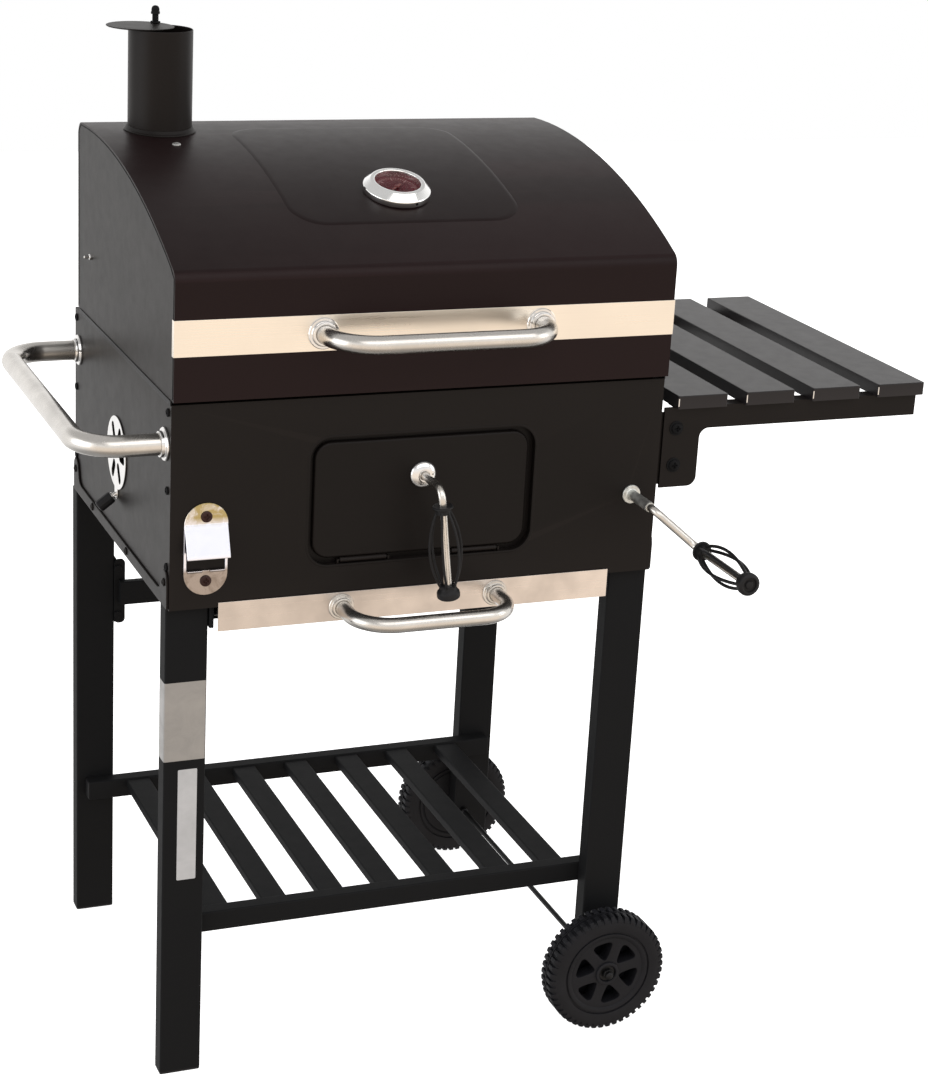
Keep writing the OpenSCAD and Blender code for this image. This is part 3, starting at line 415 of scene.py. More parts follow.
def cast(name, colour=(0.035, 0.034, 0.033)):
    """Cast iron: sandy skin, lumps, oily sheen and traces of ash."""
    m = Finish(name)
    sand = m.noise(650, 5, 0.75)
    lumps = m.noise(90, 3, 0.6)
    base = m.mix(m.ramp(lumps, 0.3, 0.7), shade(colour, 0.8), shade(colour, 1.35))
    base = m.mix(m.mul(m.ramp(m.noise(22, 6, 0.8), 0.55, 0.8), 0.3), base, (0.12, 0.1, 0.09))
    return m.set(Base_Color=base, Metallic=0.35, Roughness=m.ramp(sand, 0.3, 0.8, 0.5, 0.8),
                 Normal=m.bump(sand, 0.5, 0.0003, m.bump(lumps, 0.3, 0.0006)))


def glass_pane(name):
    """Clear pane with a little dust. Its index is kept low, so that the dial's colour comes through."""
    m = Finish(name)
    dust = m.ramp(m.noise(140, 5, 0.75), 0.45, 0.8)
    return m.set(Base_Color=m.mix(dust, (1.0, 1.0, 1.0), (0.9, 0.9, 0.88)), Transmission_Weight=1.0,
                 IOR=1.04,
                 Roughness=m.ramp(dust, 0.0, 1.0, 0.02, 0.06))


def dial_face(name):
    """Dark red gauge face: concentric print rings, mottled and slightly glossy. U is the radius."""
    m = Finish(name)
    ring = m.part(m.add("ShaderNodeUVMap").outputs[0], "X")
    print_band = m.mul(m.ramp(ring, 0.70, 0.72), m.ramp(ring, 0.84, 0.86, 1.0, 0.0))
    mottle = m.noise(420, 4, 0.7)
    base = m.mix(m.ramp(ring, 0.55, 0.57), (0.070, 0.001, 0.007), (0.088, 0.002, 0.009))
    base = m.mix(m.mul(print_band, 0.4), base, (0.10, 0.022, 0.024))
    base = m.mix(m.ramp(mottle, 0.5, 0.7, 0.0, 0.12), base, (0.22, 0.08, 0.08))
    return m.set(Base_Color=base, Specular_IOR_Level=0.1, Roughness=m.ramp(mottle, 0.3, 0.7, 0.25, 0.45),
                 Normal=m.bump(mottle, 0.1, 0.0001))


def paper(name, colour, rough=0.45, metallic=0.0):
    """Stuck-on film: faint wrinkles, scuffs and yellowing."""
    m = Finish(name)
    fold = m.noise(38, 4, 0.6, distortion=0.6)
    fibre = m.noise(900, 3, 0.6)
    base = m.mix(m.ramp(fold, 0.35, 0.75), colour, shade(colour, 0.86))
    base = m.mix(m.ramp(fibre, 0.5, 0.8, 0.0, 0.2), base, shade(colour, 0.7))
    return m.set(Base_Color=base, Metallic=metallic,
                 Roughness=m.ramp(fold, 0.3, 0.8, rough - 0.08, rough + 0.14),
                 Normal=m.bump(fold, 0.12, 0.0003, m.bump(fibre, 0.08, 0.00006)))


def enamel_red(name):
    """Red enamel of the gauge's needle."""
    m = Finish(name)
    fine = m.noise(800, 3, 0.6)
    return m.set(Base_Color=m.mix(m.ramp(fine, 0.3, 0.7), (0.13, 0.016, 0.014), (0.18, 0.028, 0.024)),
                 Roughness=m.ramp(fine, 0.3, 0.7, 0.28, 0.42), Normal=m.bump(fine, 0.1, 0.00005))


BODY = powder_coat("body_powder_coat", (0.0060, 0.0046, 0.0042), specular=0.14)
LID = powder_coat("lid_powder_coat", (0.0088, 0.0040, 0.0043), rough=0.38, specular=0.12)
LEGS = powder_coat("leg_powder_coat", (0.0068, 0.0071, 0.0078), rough=0.58, specular=0.07)
SLATS = powder_coat("slat_powder_coat", (0.0104, 0.0090, 0.0100), rough=0.36, specular=0.26)
ENAMEL = powder_coat("pan_enamel", (0.012, 0.012, 0.012), rough=0.3, peel=0.3)
# The warm cream tints of both brushed bands are painted reflection of a warm surround.
BAND = brushed("brushed_band", (0.89, 0.825, 0.735), haze=0.12)
# the drawer front's left half is darker: painted shade
DRAWER_BAND = brushed("brushed_drawer_front", (0.76, 0.69, 0.64), haze=0.9, patch=13.0, painted_light_mix=0.32)
TUBE = satin_steel("satin_tube", (0.66, 0.635, 0.60))
CHROME = chrome_plate("bright_chrome")
BRIGHT_CHROME = chrome_plate("gauge_chrome", (0.93, 0.93, 0.92), rough=0.13)
ZINC = zinc_plate("zinc_plate")
GALVANISED = zinc_plate("galvanised_sleeve", (0.60, 0.61, 0.59), rough=0.34)
BLACK_ZINC = zinc_plate("blackened_fixings", (0.022, 0.022, 0.023))
PLASTIC = moulding("matt_moulding")
WHEEL = moulding("wheel_moulding", (0.0084, 0.0086, 0.0108), rough=0.58, grain_size=700)
SCREW_BROWN = moulding("browned_screw", (0.032, 0.014, 0.012), rough=0.3)
OPENER = opener_plate("opener_plate")
IRON = cast("cast_iron")
GLASS = glass_pane("gauge_glass")
DIAL = dial_face("gauge_dial")
FOIL = paper("blank_foil", (0.33, 0.325, 0.32), rough=0.36, metallic=0.55)
STRIP = paper("blank_strip", (0.47, 0.48, 0.50))
PRINT = paper("gauge_print", (0.24, 0.12, 0.12))
NEEDLE = enamel_red("needle_enamel")


# ---- shared shapes
def add_bar(bm, low, high, axis=0, r=2.0, ease=0.4):
    """Tube or bar along one axis: rounded long edges, and its two ends eased by a small chamfer."""
    low, high = Vector(low), Vector(high)
    size = high - low
    start = (low + high) / 2
    start[axis] = low[axis]
    m = seat(start, [float(k == axis) for k in range(3)])
    a, b = (size[k] / 2 for k in range(3) if k != axis)
    length = size[axis]
    rings = []
    for z, inset in ((0.0, ease), (ease * 0.3, ease * 0.3), (ease, 0.0),
                     (length - ease, 0.0), (length - ease * 0.3, ease * 0.3), (length, ease)):
        sx, sy = 1 - inset / a, 1 - inset / b
        rings.append(placed(m, [(x * sx, y * sy) for x, y in rounded_rect(a, b, r, 4)], z))
    skin(bm, rings)


def add_pressing(bm, half_w, half_h, corner, depth, sheet, edge, origin, direction, steps=4):
    """Pressed tray: a face with rounded edges, looking along direction, whose walls turn back by depth."""
    m = seat(origin, direction)

    def ring(inset, z):
        return placed(m, rounded_rect(half_w - inset, half_h - inset, max(corner - inset, 0.6)), z)

    rings = [ring(sheet + 1.0, -sheet), ring(sheet, -sheet - 1.0), ring(sheet, -depth), ring(0, -depth)]
    for i in range(steps + 1):
        a = math.pi / 2 * i / steps
        rings.append(ring(edge * (1 - math.cos(a)), -edge * (1 - math.sin(a))))
    skin(bm, rings)


def flat_plate(bm, outlines, thick, matrix, ease=0.3):
    """Plate with holes: outline loops in its plane, extruded both ways about z = 0, edges eased."""
    curve = bpy.data.curves.new("outline", "CURVE")
    curve.dimensions = "2D"
    curve.fill_mode = "BOTH"
    curve.extrude = thick / 2 - ease
    curve.bevel_depth = ease
    curve.bevel_resolution = 1
    curve.offset = -ease
    for loop in outlines:
        s = curve.splines.new("POLY")
        s.points.add(len(loop) - 1)
        for p, (x, y) in zip(s.points, loop):
            p.co = (x, y, 0, 1)
        s.use_cyclic_u = True
    obj = bpy.data.objects.new("outline", curve)
    bpy.context.collection.objects.link(obj)
    bpy.context.view_layer.update()
    part = bmesh.new()
    part.from_mesh(obj.to_mesh())
    obj.to_mesh_clear()
    bpy.data.objects.remove(obj)
    bpy.data.curves.remove(curve)
    bmesh.ops.remove_doubles(part, verts=part.verts, dist=0.001)
    bmesh.ops.transform(part, matrix=matrix, verts=part.verts)
    bmesh.ops.recalc_face_normals(part, faces=part.faces)
    merged = {v: bm.verts.new(v.co) for v in part.verts}
    for f in part.faces:
        try:
            bm.faces.new([merged[v] for v in f.verts])
        except ValueError:  # a face that the merge made twice
            pass
    part.free()


def add_screw(bm, head_r, head_h, at, direction, shank=6.0):
    """Pan head with a cross recess, standing on its seat at the given point."""
    m = seat(at, direction)
    n = 32
    rings = [placed(m, circle(head_r * k, n), z) for k, z in ((0.45, -shank), (0.45, 0.0), (0.97, 0.0))]
    for k in range(9):
        r = head_r * math.sin(math.pi / 2 * (1 - k / 8) ** 0.9)
        dome = head_h * (0.35 + 0.65 * math.sqrt(max(0.0, 1 - (r / head_r) ** 2)))
        ring = []
        for x, y in circle(r, n):
            recess = r < head_r * 0.58 and min(abs(x), abs(y)) < head_r * 0.16
            ring.append(m @ Vector((x, y, dome - (head_h * 0.55 if recess else 0.0))))
        rings.append(ring)
    skin(bm, rings)


def add_nut(bm, r, h, at, direction, turn=0.0):
    """Hexagon head with a chamfered crown. The radius is to the flats."""
    m = seat(at, direction)
    hexagon = []
    for i in range(6):
        a = math.radians(60 * i) + turn
        hexagon.append(Vector(polar(r / math.cos(math.radians(30)), a)))
    outline = []
    for a, b in zip(hexagon, hexagon[1:] + hexagon[:1]):
        outline += [a.lerp(b, t) for t in (0.0, 0.12, 0.5, 0.88)]

    def ring(limit, z):
        return placed(m, [p * min(1.0, limit / p.length) for p in outline], z)

    skin(bm,
         [ring(r * k, h * t) for k, t in ((1.2, 0.0), (1.2, 0.72), (1.05, 0.9), (0.95, 1.0), (0.55, 1.0))])


def add_flange(bm, r, step_r, tube_r, at, direction):
    """Two-step flange with softened edges round a tube."""
    add_lathe(bm, [(tube_r, 0.0), (r - 0.4, 0.0), (r, 0.5), (r, 2.2), (r - 0.7, 3.0), (step_r + 0.8, 3.2),
                   (step_r + 0.1, 3.9), (step_r, 6.8), (step_r - 0.4, 7.6), (step_r - 1.3, 8.0),
                   (tube_r + 0.6, 8.0), (tube_r, 7.2)], at, direction, n=56)


def add_handle(bm, m, half, reach, bend_r, r, n):
    """U-shaped tube in a frame's own plane: feet at x = +-half on y = 0, reaching to -y."""
    path = arc_path([(-half, 0, 0), (-half, -reach, 0), (half, -reach, 0), (half, 0, 0)], (bend_r, bend_r))
    add_tube(bm, [m @ p for p in path], r, n=n)


def add_grip(bm, m, length, wire_r):
    """Bowed-wire grip between a collar at the origin and a knob along -z."""
    bore = ROD_R + 0.05
    foot_r = 7.0
    knob = [(bore, -6.0), (9.0, -6.0), (10.0, -5.0), (10.0, -2.5), (11.5, 0.2), (13.0, 1.8), (13.5, 3.6),
            (13.5, 7.6), (13.0, 9.2), (11.4, 10.5), (9.6, 10.9), (8.6, 10.4), (8.0, 8.4), (5.2, 8.2),
            (4.6, 9.8), (3.0, 10.4), (0.0, 10.4)]
    for profile in ([(bore, -4.9), (8.2, -5.0), (9.0, -4.2), (9.0, -2.0), (9.0, 2.0), (8.6, 4.4),
                     (7.6, 5.0), (bore, 5.0)],
                    [(bore, -5.0), (11.2, -5.0), (12.0, -4.4), (12.0, -2.6), (11.2, -2.0), (bore, -2.0)],
                    [(r, length + h) for r, h in knob]):
        add_lathe(bm, profile, m.translation, m.to_3x3() @ Vector((0, 0, -1)), n=40)
    for k in range(6):
        path = []
        for i in range(25):
            t = i / 24
            r = foot_r + (GRIP_R - wire_r - foot_r) * (1 - (2 * t - 1) ** 2)
            path.append(m @ Vector((*polar(r, math.radians(60 * k)), -length * t)))
        add_tube(bm, path, wire_r, n=10)


# ---- trolley
LEG_TOP = cad("leg_front_left")[1].z
PLUG_H = 3.0        # visible height of the plug under each leg
RIGHT_FOOT = 37.0   # height of the right legs' plugs, beside the wheels
for node in ("leg_front_left", "leg_back_left", "leg_front_right", "leg_back_right"):
    low, high = cad(node)
    low.z = PLUG_H + (RIGHT_FOOT if low.x > 0 else 0)
    high.z = LEG_TOP
    bm = bmesh.new()
    add_bar(bm, low, high, axis=2, r=2.2, ease=0.25)
    piece(node + "_tube", bm, LEGS, "cart", (node,))

bm = bmesh.new()
for x, low in ((-LEG_X, 0), (LEG_X, RIGHT_FOOT)):
    for y in (-208, 230):
        add_bar(bm, (x - 25, y - 12, low), (x + 25, y + 12, low + PLUG_H), axis=2, r=2.4, ease=0.9)
        add_bar(bm, (x - 23.4, y - 10.4, low + 2), (x + 23.4, y + 10.4, low + 9), axis=2, r=1.6, ease=0.3)
piece("leg_plugs", bm, PLASTIC, "cart", ("leg_feet",))

caps = bmesh.new()
for node in ("shelf_front_rail", "shelf_back_rail"):
    low, high = cad(node)
    bm = bmesh.new()
    add_bar(bm, low, high, axis=0, r=2.2, ease=0.3)
    piece(node + "_tube", bm, LEGS, "cart", (node,))
    for x0, x1 in ((low.x - 1.4, low.x + 6), (high.x - 6, high.x + 1.4)):
        add_bar(caps, (x0, low.y + 1.2, low.z + 1.2), (x1, high.y - 1.2, high.z - 1.2), axis=0, r=1.8,
                ease=0.6)
piece("shelf_rail_caps", caps, PLASTIC, "cart")

low, high = cad("shelf_slats")
pitch = (high.x - low.x - 32) / 6
bm = bmesh.new()
for i in range(7):
    x = low.x + i * pitch
    add_bar(bm, (x, low.y, low.z), (x + 32, high.y, high.z), axis=1, r=2, ease=0.2)
piece("shelf_slat_tubes", bm, LEGS, "cart", ("shelf_slats",))

CROSSBAR_Z = 461.5
bm = bmesh.new()
add_bar(bm, (-246, 203, 446), (246, 215, 478), axis=0, r=2, ease=0.2)
for side in (-1, 1):
    for half_w, thick, x, y, way in ((7.2, 3, 244.6, 216.5, FORWARD),
                                     (10.8, 2.6, 249.5, 226, (1, 0, 0))):
        m = seat((side * x, y, CROSSBAR_Z), way)
        flat_plate(bm, [rounded_rect(half_w, 44.5, 6, 8)], thick, m, ease=0.5)
    for dz in (32, -32):
        add_nut(bm, 4.6, 3.4, (side * 247.5, 215.1, CROSSBAR_Z + dz), FORWARD, turn=0.4)
piece("crossbar_formed", bm, LEGS, "cart", ("rear_crossbar",))

# ---- wheels
WHEEL_X = 264.0
WHEEL_R = 79.0
HALF_W = 17.0
TREAD_BLOCKS = 50
SPOKES = 6


def add_wheel(bm, y, outward):
    at = (WHEEL_X, y, WHEEL_R)
    axis = (0, outward, 0)
    m = seat(at, axis, UP)
    half = [(48, 2), (48, 13), (50, 15.4), (53.5, 16.2), (55, 15.6), (55.4, 13.8), (57.2, 13.8),
            (57.8, 15.8), (60.5, 16.6), (66, HALF_W), (70.5, 16.6), (73.6, 15.4), (75.4, 13.4), (76, 11),
            (76.2, 1)]
    rim = half + [(78.6, 0.8), (78.6, -0.8), (76.2, -1)] + [(r, -h) for r, h in reversed(half[:-1])]
    add_lathe(bm, rim + rim[:1], at, axis, n=144, up=UP)
    block = [(2.4, 75.8), (2.8, 78.6), (3.4, WHEEL_R), (13, WHEEL_R), (14.4, 78.3), (16.9, 73.4),
             (16.6, 70.6), (15, 70)]
    for row in (1, -1):
        for k in range(TREAD_BLOCKS):
            mid = 2 * math.pi * (k + 0.25 * row) / TREAD_BLOCKS
            rings = []
            for a, cut in ((-0.036, 0.6), (-0.026, 0), (0.026, 0), (0.036, 0.6)):
                trimmed = [(row * h, r - (cut if r > 73 else 0)) for h, r in block]
                rings.append([m @ Vector((*polar(r, mid + a), h)) for h, r in trimmed])
            skin(bm, rings)
    windows = []
    for k in range(SPOKES):
        mid = math.radians(60 * k + 42)
        corners = [(19.5, -0.13), (41, -0.36), (43.5, -0.22), (43.5, 0.22), (41, 0.36), (19.5, 0.13),
                   (18.6, 0)]
        pts = [Vector(polar(r, mid + a)) for r, a in corners]
        loop = []
        for a, b, c in zip(pts[-1:] + pts, pts, pts[1:] + pts[:1]):
            for t in (0.25, 0.5, 0.75):
                loop.append((a + b) / 2 * (1 - t) ** 2 + b * 2 * t * (1 - t) + (b + c) / 2 * t ** 2)
        windows.append(loop)
    flat_plate(bm, [circle(50, 96)] + windows, 18, m @ Matrix.Translation((0, 0, 5)), ease=1.4)
    add_lathe(bm,
              [(5.2, -HALF_W), (15, -HALF_W), (16, -16), (16, 12), (15.2, 16.2), (13.6, HALF_W),
               (11.6, 16.6), (10.6, 15.4), (10.4, 12.2), (5.2, 12), (5.2, -HALF_W)], at, axis, n=48)
    add_lathe(bm, [(48.5, 2), (48.5, -14.6), (46, -14.9), (15.5, -14.9), (15.5, -13.6), (45.6, -13.6),
                   (46, 2)], at, axis, n=96)
    for k in range(SPOKES):
        spoke = m @ Matrix.Rotation(math.radians(60 * k + 12), 4, "Z")
        skin(bm, [placed(spoke, [(15, -2), (47, -2), (47, 2), (15, 2)], z) for z in (-13.8, -3)])


for node, side, body in (("wheel_front", -1, "front_wheel"), ("wheel_back", 1, "back_wheel")):
    bm = bmesh.new()
    add_wheel(bm, side * 261, side)
    piece(node + "_moulded", bm, WHEEL, body, (node,), sharp=38)

bm = bmesh.new()
add_lathe(bm, [(0, 0), (5, 0), (5, 75), (3.4, 77), (3.4, 488), (5, 490), (5, 560), (0, 560)],
          (WHEEL_X, -280, WHEEL_R), (0, 1, 0), n=32)
piece("axle_bar", bm, BLACK_ZINC, "cart", ("wheel_axle",))
bm = bmesh.new()
for side in (-1, 1):
    out = (0, side, 0)
    add_lathe(bm, [(5.1, 0), (10.2, 0), (10.6, 0.4), (10.6, 1.4), (10, 1.8), (5.1, 1.8), (5.1, 0)],
              (WHEEL_X, side * 273.4, WHEEL_R), out, n=40)
    add_nut(bm, 6.4, 5.2, (WHEEL_X, side * 275.2, WHEEL_R), out, turn=0.3)
    add_lathe(bm, [(5, 0), (5, 3.6), (4.2, 4.8), (2.6, 5.6), (0, 6)],
              (WHEEL_X, side * 280, WHEEL_R), out, n=32)
add_lathe(bm, [(5.05, 0), (7.6, 0), (8, 0.4), (8, 23.1), (7.6, 23.5), (5.05, 23.5), (5.05, 0)],
          (WHEEL_X, -243.5, WHEEL_R), (0, 1, 0), n=40)
piece("axle_fasteners", bm, BLACK_ZINC, "cart", ("axle_nuts",))

# ---- firebox
for node in ("firebox_front", "firebox_back", "firebox_left", "firebox_right", "firebox_floor"):
    refined(node, BODY, "cart")
refined("drawer_runners", LEGS, "cart", bevel=0.4, segments=1)

# rolled edge round the fuel door's opening
DOOR_Z = 719.0
path = placed(seat((0, FRONT_Y, DOOR_Z), FORWARD), rounded_rect(139.6, 77.6, 26.6, 10))
rings = []
for a, b, p in zip(path[-1:] + path, path[1:] + path[:1], path):
    inward = Vector((0, 1, 0)).cross(b - a).normalized()
    if inward.dot(Vector((0, FRONT_Y, DOOR_Z)) - p) < 0:
        inward = -inward
    ring = []
    for k in range(7):
        x, y = polar(1, math.pi * k / 6)
        ring.append(p - inward * 1.6 * x + Vector((0, 0.1 - 0.55 * y, 0)))
    rings.append(ring)
bm = bmesh.new()
skin(bm, rings, closed=False, loop=True)
piece("door_opening_bead", bm, BODY, "cart")

bm = bmesh.new()
for side, heights in ((-1, (652, 742, 832)), (1, (652, 832))):
    for y in (-218, 220):
        for z in heights:
            add_screw(bm, 4.8, 2.6, (side * 300.2, y, z), (side, 0, 0))
piece("panel_screw_heads", bm, LEGS, "cart", ("panel_screws",))

OPENER_X, OPENER_Z = -258.5, 674.5
bm = bmesh.new()
for z in (-37.5, 38.5):
    add_screw(bm, 6.6, 2.6, (OPENER_X, -232.1, OPENER_Z + z), FORWARD)
piece("opener_screw_heads", bm, SCREW_BROWN, "cart")

# strip along the foot of each side wall, its two ends turned up into tabs for the corner screws
half = [(0, 618), (150, 618), (188, 618.4), (196, 621), (200.5, 626), (203, 634), (206, 642), (211, 647),
        (217, 648.6), (223, 647), (226.6, 642), (228, 635), (228, 604)]
outline = [(-y, z) for y, z in half[1:]][::-1] + half
for side, name in ((-1, "side_strip_left"), (1, "side_strip_right")):
    bm = bmesh.new()
    flat_plate(bm, [outline], 2.6, seat((side * 301.4, 0, 0), (1, 0, 0)), ease=0.8)
    for y, z in ((-217, 634), (-46, 612), (125, 612), (217, 634)):
        add_screw(bm, 4.8, 2.6, (side * 302.6, y, z), (side, 0, 0), shank=2)
    piece(name, bm, BODY, "cart")

PUSH_Z = 793
bm = bmesh.new()
m = Matrix.Translation((-WALL_X, 0, PUSH_Z)) @ Matrix.Rotation(math.radians(-90), 4, "Z")
add_handle(bm, m, 207, 94, 48, 12.5, 48)
piece("push_handle_tube", bm, TUBE, "cart", ("push_handle",))
bm = bmesh.new()
for y in (-207, 207):
    add_flange(bm, 19, 15, 12.4, (-WALL_X, y, PUSH_Z), (-1, 0, 0))
piece("push_handle_rosettes", bm, CHROME, "cart", ("push_handle_flanges",))

# bottle opener: a plate with a window, a hood bent out over it and a tooth below
bm = bmesh.new()
window = [(-22.5, -25), (22.5, -25), (22.5, 20), (-22.5, 20)]
holes = [[(x, z + y) for x, y in circle(2.2, 20)] for z in (-37.5, 38.5)]
flat_plate(bm, [rounded_rect(25.5, 54.5, 25.4, 16), window] + holes, 2,
           seat((OPENER_X, FRONT_Y - 1, OPENER_Z), FORWARD), ease=0.35)
hood = [(-0.6, 31), (-2.2, 30), (-2.9, 27.5), (-4, 24.5), (-14.6, -2.6), (-15.7, -6.2), (-15.4, -7.6),
        (-14.2, -7.9), (-13.2, -6.6), (-12.4, -2.8), (-2.4, 23.4), (-0.6, 24)]
tooth = [(-1, -24), (-4.4, -24.4), (-5, -25.4), (-4.4, -26.8), (-1, -28)]
for outline, stops in ((hood, (-25, -24.7, 24.7, 25)), (tooth, (-21.5, -4.5)), (tooth, (4.5, 21.5))):
    skin(bm, [[Vector((OPENER_X + x, FRONT_Y + y, OPENER_Z + z)) for y, z in outline] for x in stops])
bmesh.ops.recalc_face_normals(bm, faces=bm.faces)
piece("bottle_opener_pressed", bm, OPENER, "cart", ("bottle_opener",), bevel=0.3, segments=1,
      angle=40)

# ---- side table
low, high = cad("table_slats")
bm = bmesh.new()
corners = bmesh.new()
for i in range(4):
    x = low.x + i * 91.5
    add_pressing(bm, 33, 231, 2.5, 16, 1.5, 1.2, (x + 33, 0, high.z), UP, steps=3)
    add_tube(corners, [(x + 0.5, -230.6, high.z - 12.5), (x + 0.5, -230.6, high.z - 3)], 0.95, n=10)
piece("table_slat_pressings", bm, SLATS, "cart", ("table_slats",))
# chrome rods at each slat's front corner: a painted highlight, standing for the glint on the corner
piece("table_slat_corner_glints", corners, CHROME, "cart")
refined("table_brackets", BODY, "cart")
refined("table_angles", BODY, "cart", bevel=0.4)
bm = bmesh.new()
BOLT_X = 325
for side in (-1, 1):
    out = (0, side, 0)
    for z in (778, 732):
        add_lathe(bm, [(0, -0.2), (9, -0.2), (9, 0.9), (8.6, 1.2), (0, 1.2)],
                  (BOLT_X, side * 222, z), out, n=36)
        add_screw(bm, 6.8, 3.6, (BOLT_X, side * 223, z), out, shank=4)
        add_nut(bm, 6.2, 4, (BOLT_X, side * 217, z), (0, -side, 0))
piece("table_bolt_heads", bm, LEGS, "cart", ("table_bolts",))

# ---- inside the firebox
refined("cooking_grates", IRON, "cart", bevel=1.2)
refined("grate_ledges", ZINC, "cart", bevel=0.3, segments=1)
refined("lift_guides", ZINC, "cart", bevel=0.3, segments=1)
refined("charcoal_pan", ENAMEL, "pan")
refined("charcoal_grate", IRON, "pan", bevel=0.7)
refined("lift_carriage", ZINC, "carriage")
refined("lid_hinge_brackets", ZINC, "cart", bevel=0.4)
refined("lid_hinge_leaves", ZINC, "lid", bevel=0.4)

CRANK_X, CRANK_Z = 267, 702.0
bm = bmesh.new()
add_lathe(bm, [(4.8, -10), (6.3, -10), (6.3, 0), (11.2, 0), (11.5, 0.4), (11.5, 2.3), (10.9, 3), (7.4, 3.2),
               (6.6, 3.8), (6.2, 5), (6.2, 51.8), (5.7, 52.9), (4.8, 53), (4.8, -10)],
          (CRANK_X, FRONT_Y, CRANK_Z), FORWARD, n=40)
add_bar(bm, (247, 216.5, CRANK_Z - 20), (298.5, 228.5, CRANK_Z + 20), axis=1, r=4, ease=0.6)
piece("crank_bearings", bm, GALVANISED, "cart", ("crank_bushes",))

# ---- lid
ARC_Y, ARC_Z, ARC_R = 150, 213.5, 868.0


def on_top(x, y, lift=0):
    """Point on the lid's curved top."""
    return Vector((x, y, ARC_Z + math.sqrt((ARC_R + lift) ** 2 - (y - ARC_Y) ** 2)))


refined("lid_shell", LID, "lid", bevel=0.6, sharp=25)
for node in ("lid_end_left", "lid_end_right"):
    refined(node, BODY, "lid", bevel=0.4)
refined("lid_band", BAND, "lid", bevel=0.3)

# pressed panel in the top: a flat step with a rounded-rectangle outline
PANEL_Y, PANEL_W, PANEL_H = -16, 140, 146
outline = subdivided(rounded_rect(PANEL_W, PANEL_H, 40, 10), 9)
steps = [(-1.2, -0.25), (0, 0.1), (1.2, 0.42), (2.6, 0.7)] + [(4.6 + 8.5 * k, 0.85) for k in range(16)]
rings = []
for inset, lift in steps:
    sx, sy = (PANEL_W - inset) / PANEL_W, (PANEL_H - inset) / PANEL_H
    rings.append([on_top(x * sx, PANEL_Y + y * sy, lift) for x, y in outline])
bm = bmesh.new()
skin(bm, rings, cap=(False, True))
piece("lid_pressed_panel", bm, LID, "lid", sharp=60)

bm = bmesh.new()
add_lathe(bm, [(0, -0.4), (5.2, -0.4), (5.2, 0.4), (4.6, 1.3), (2.8, 2), (0, 2.3)],
          on_top(-219, 58), (0, -0.106, 0.994), n=32)
piece("lid_rivet", bm, ZINC, "lid")
bm = bmesh.new()
for side in (-1, 1):
    out = (side, 0, 0)
    add_nut(bm, 3.4, 3, (side * 300.1, 143, 926), out)
    add_lathe(bm, [(0, -3), (1.9, -3), (1.9, 8.6), (1.4, 9.4), (0, 9.8)], (side * WALL_X, 143, 926),
              out, n=24)
piece("lid_end_screws", bm, CHROME, "lid")

# folded seam where each end plate meets the lid's skin
bm = bmesh.new()
for x in (-300.05, 300.05):
    front = [Vector((x, -234.6, z)) for z in (851, 985)]
    back = [Vector((x, 210.2, z)) for z in (1068, 851)]
    add_tube(bm, front + [on_top(x, y, -3.4) for y in range(-220, 201, 12)] + back, 0.55, n=8)
piece("lid_end_seams", bm, LEGS, "lid")

# black strips along the top of each side wall, under the lid's edge: painted shade, a dark fill for the gap
# where the lid rests
bm = bmesh.new()
for x in (-300.5, 300.5):
    add_bar(bm, (x - 0.7, -229, 842.2), (x + 0.7, 203, 847.9), axis=1, r=0.5, ease=0.3)
piece("lid_gap_shade_strips", bm, PLASTIC, "cart")

LID_HANDLE = (-238.8, 919.5)
bm = bmesh.new()
add_handle(bm, Matrix.Translation((0, *LID_HANDLE)), 131, 62, 50, 10.5, 44)
piece("lid_handle_tube", bm, TUBE, "lid", ("lid_handle",))
bm = bmesh.new()
for x in (-131, 131):
    add_flange(bm, 18, 14, 10.4, (x, *LID_HANDLE), FORWARD)
piece("lid_handle_rosettes", bm, CHROME, "lid", ("lid_handle_flanges",))

# ---- thermometer
GAUGE_Y, GAUGE_TILT = -99, math.radians(16.67)
gauge = Matrix.Translation(on_top(0, GAUGE_Y)) @ Matrix.Rotation(GAUGE_TILT, 4, "X")
gauge_turn = gauge.to_3x3()
gauge_axis = gauge_turn @ Vector(UP)
gauge_at = gauge.translation
bm = bmesh.new()
add_lathe(bm, [(0, 0.15), (37.4, 0.15), (39.2, 0.7), (40, 2.2), (40, 7.4), (39.7, 8.3), (39, 9.2),
               (32.4, 15.5), (31.4, 16.1), (30, 16.3), (28.2, 16.2), (27.3, 15.7), (26.8, 14.8),
               (26.8, 6.9), (30, 6.8), (30, 6.2), (0, 6.2)], gauge_at, gauge_axis, n=96)
add_lathe(bm, [(3.8, -60), (3.8, 0)], gauge_at, gauge_axis, n=24)
add_lathe(bm, [(0, -61.5), (2.4, -61), (3.8, -59)], gauge_at, gauge_axis, n=24)
add_nut(bm, 8.6, 5, gauge @ Vector((0, 0, -8)), gauge_axis)
piece("gauge_bezel", bm, BRIGHT_CHROME, "lid", ("thermometer_case",), sharp=50)
bm = bmesh.new()
add_screw(bm, 1.6, 0.8, gauge @ Vector((12, -38.2, 5.4)), gauge_turn @ Vector((0.3, -0.95, 0)), shank=1)
piece("gauge_screw", bm, LEGS, "lid")

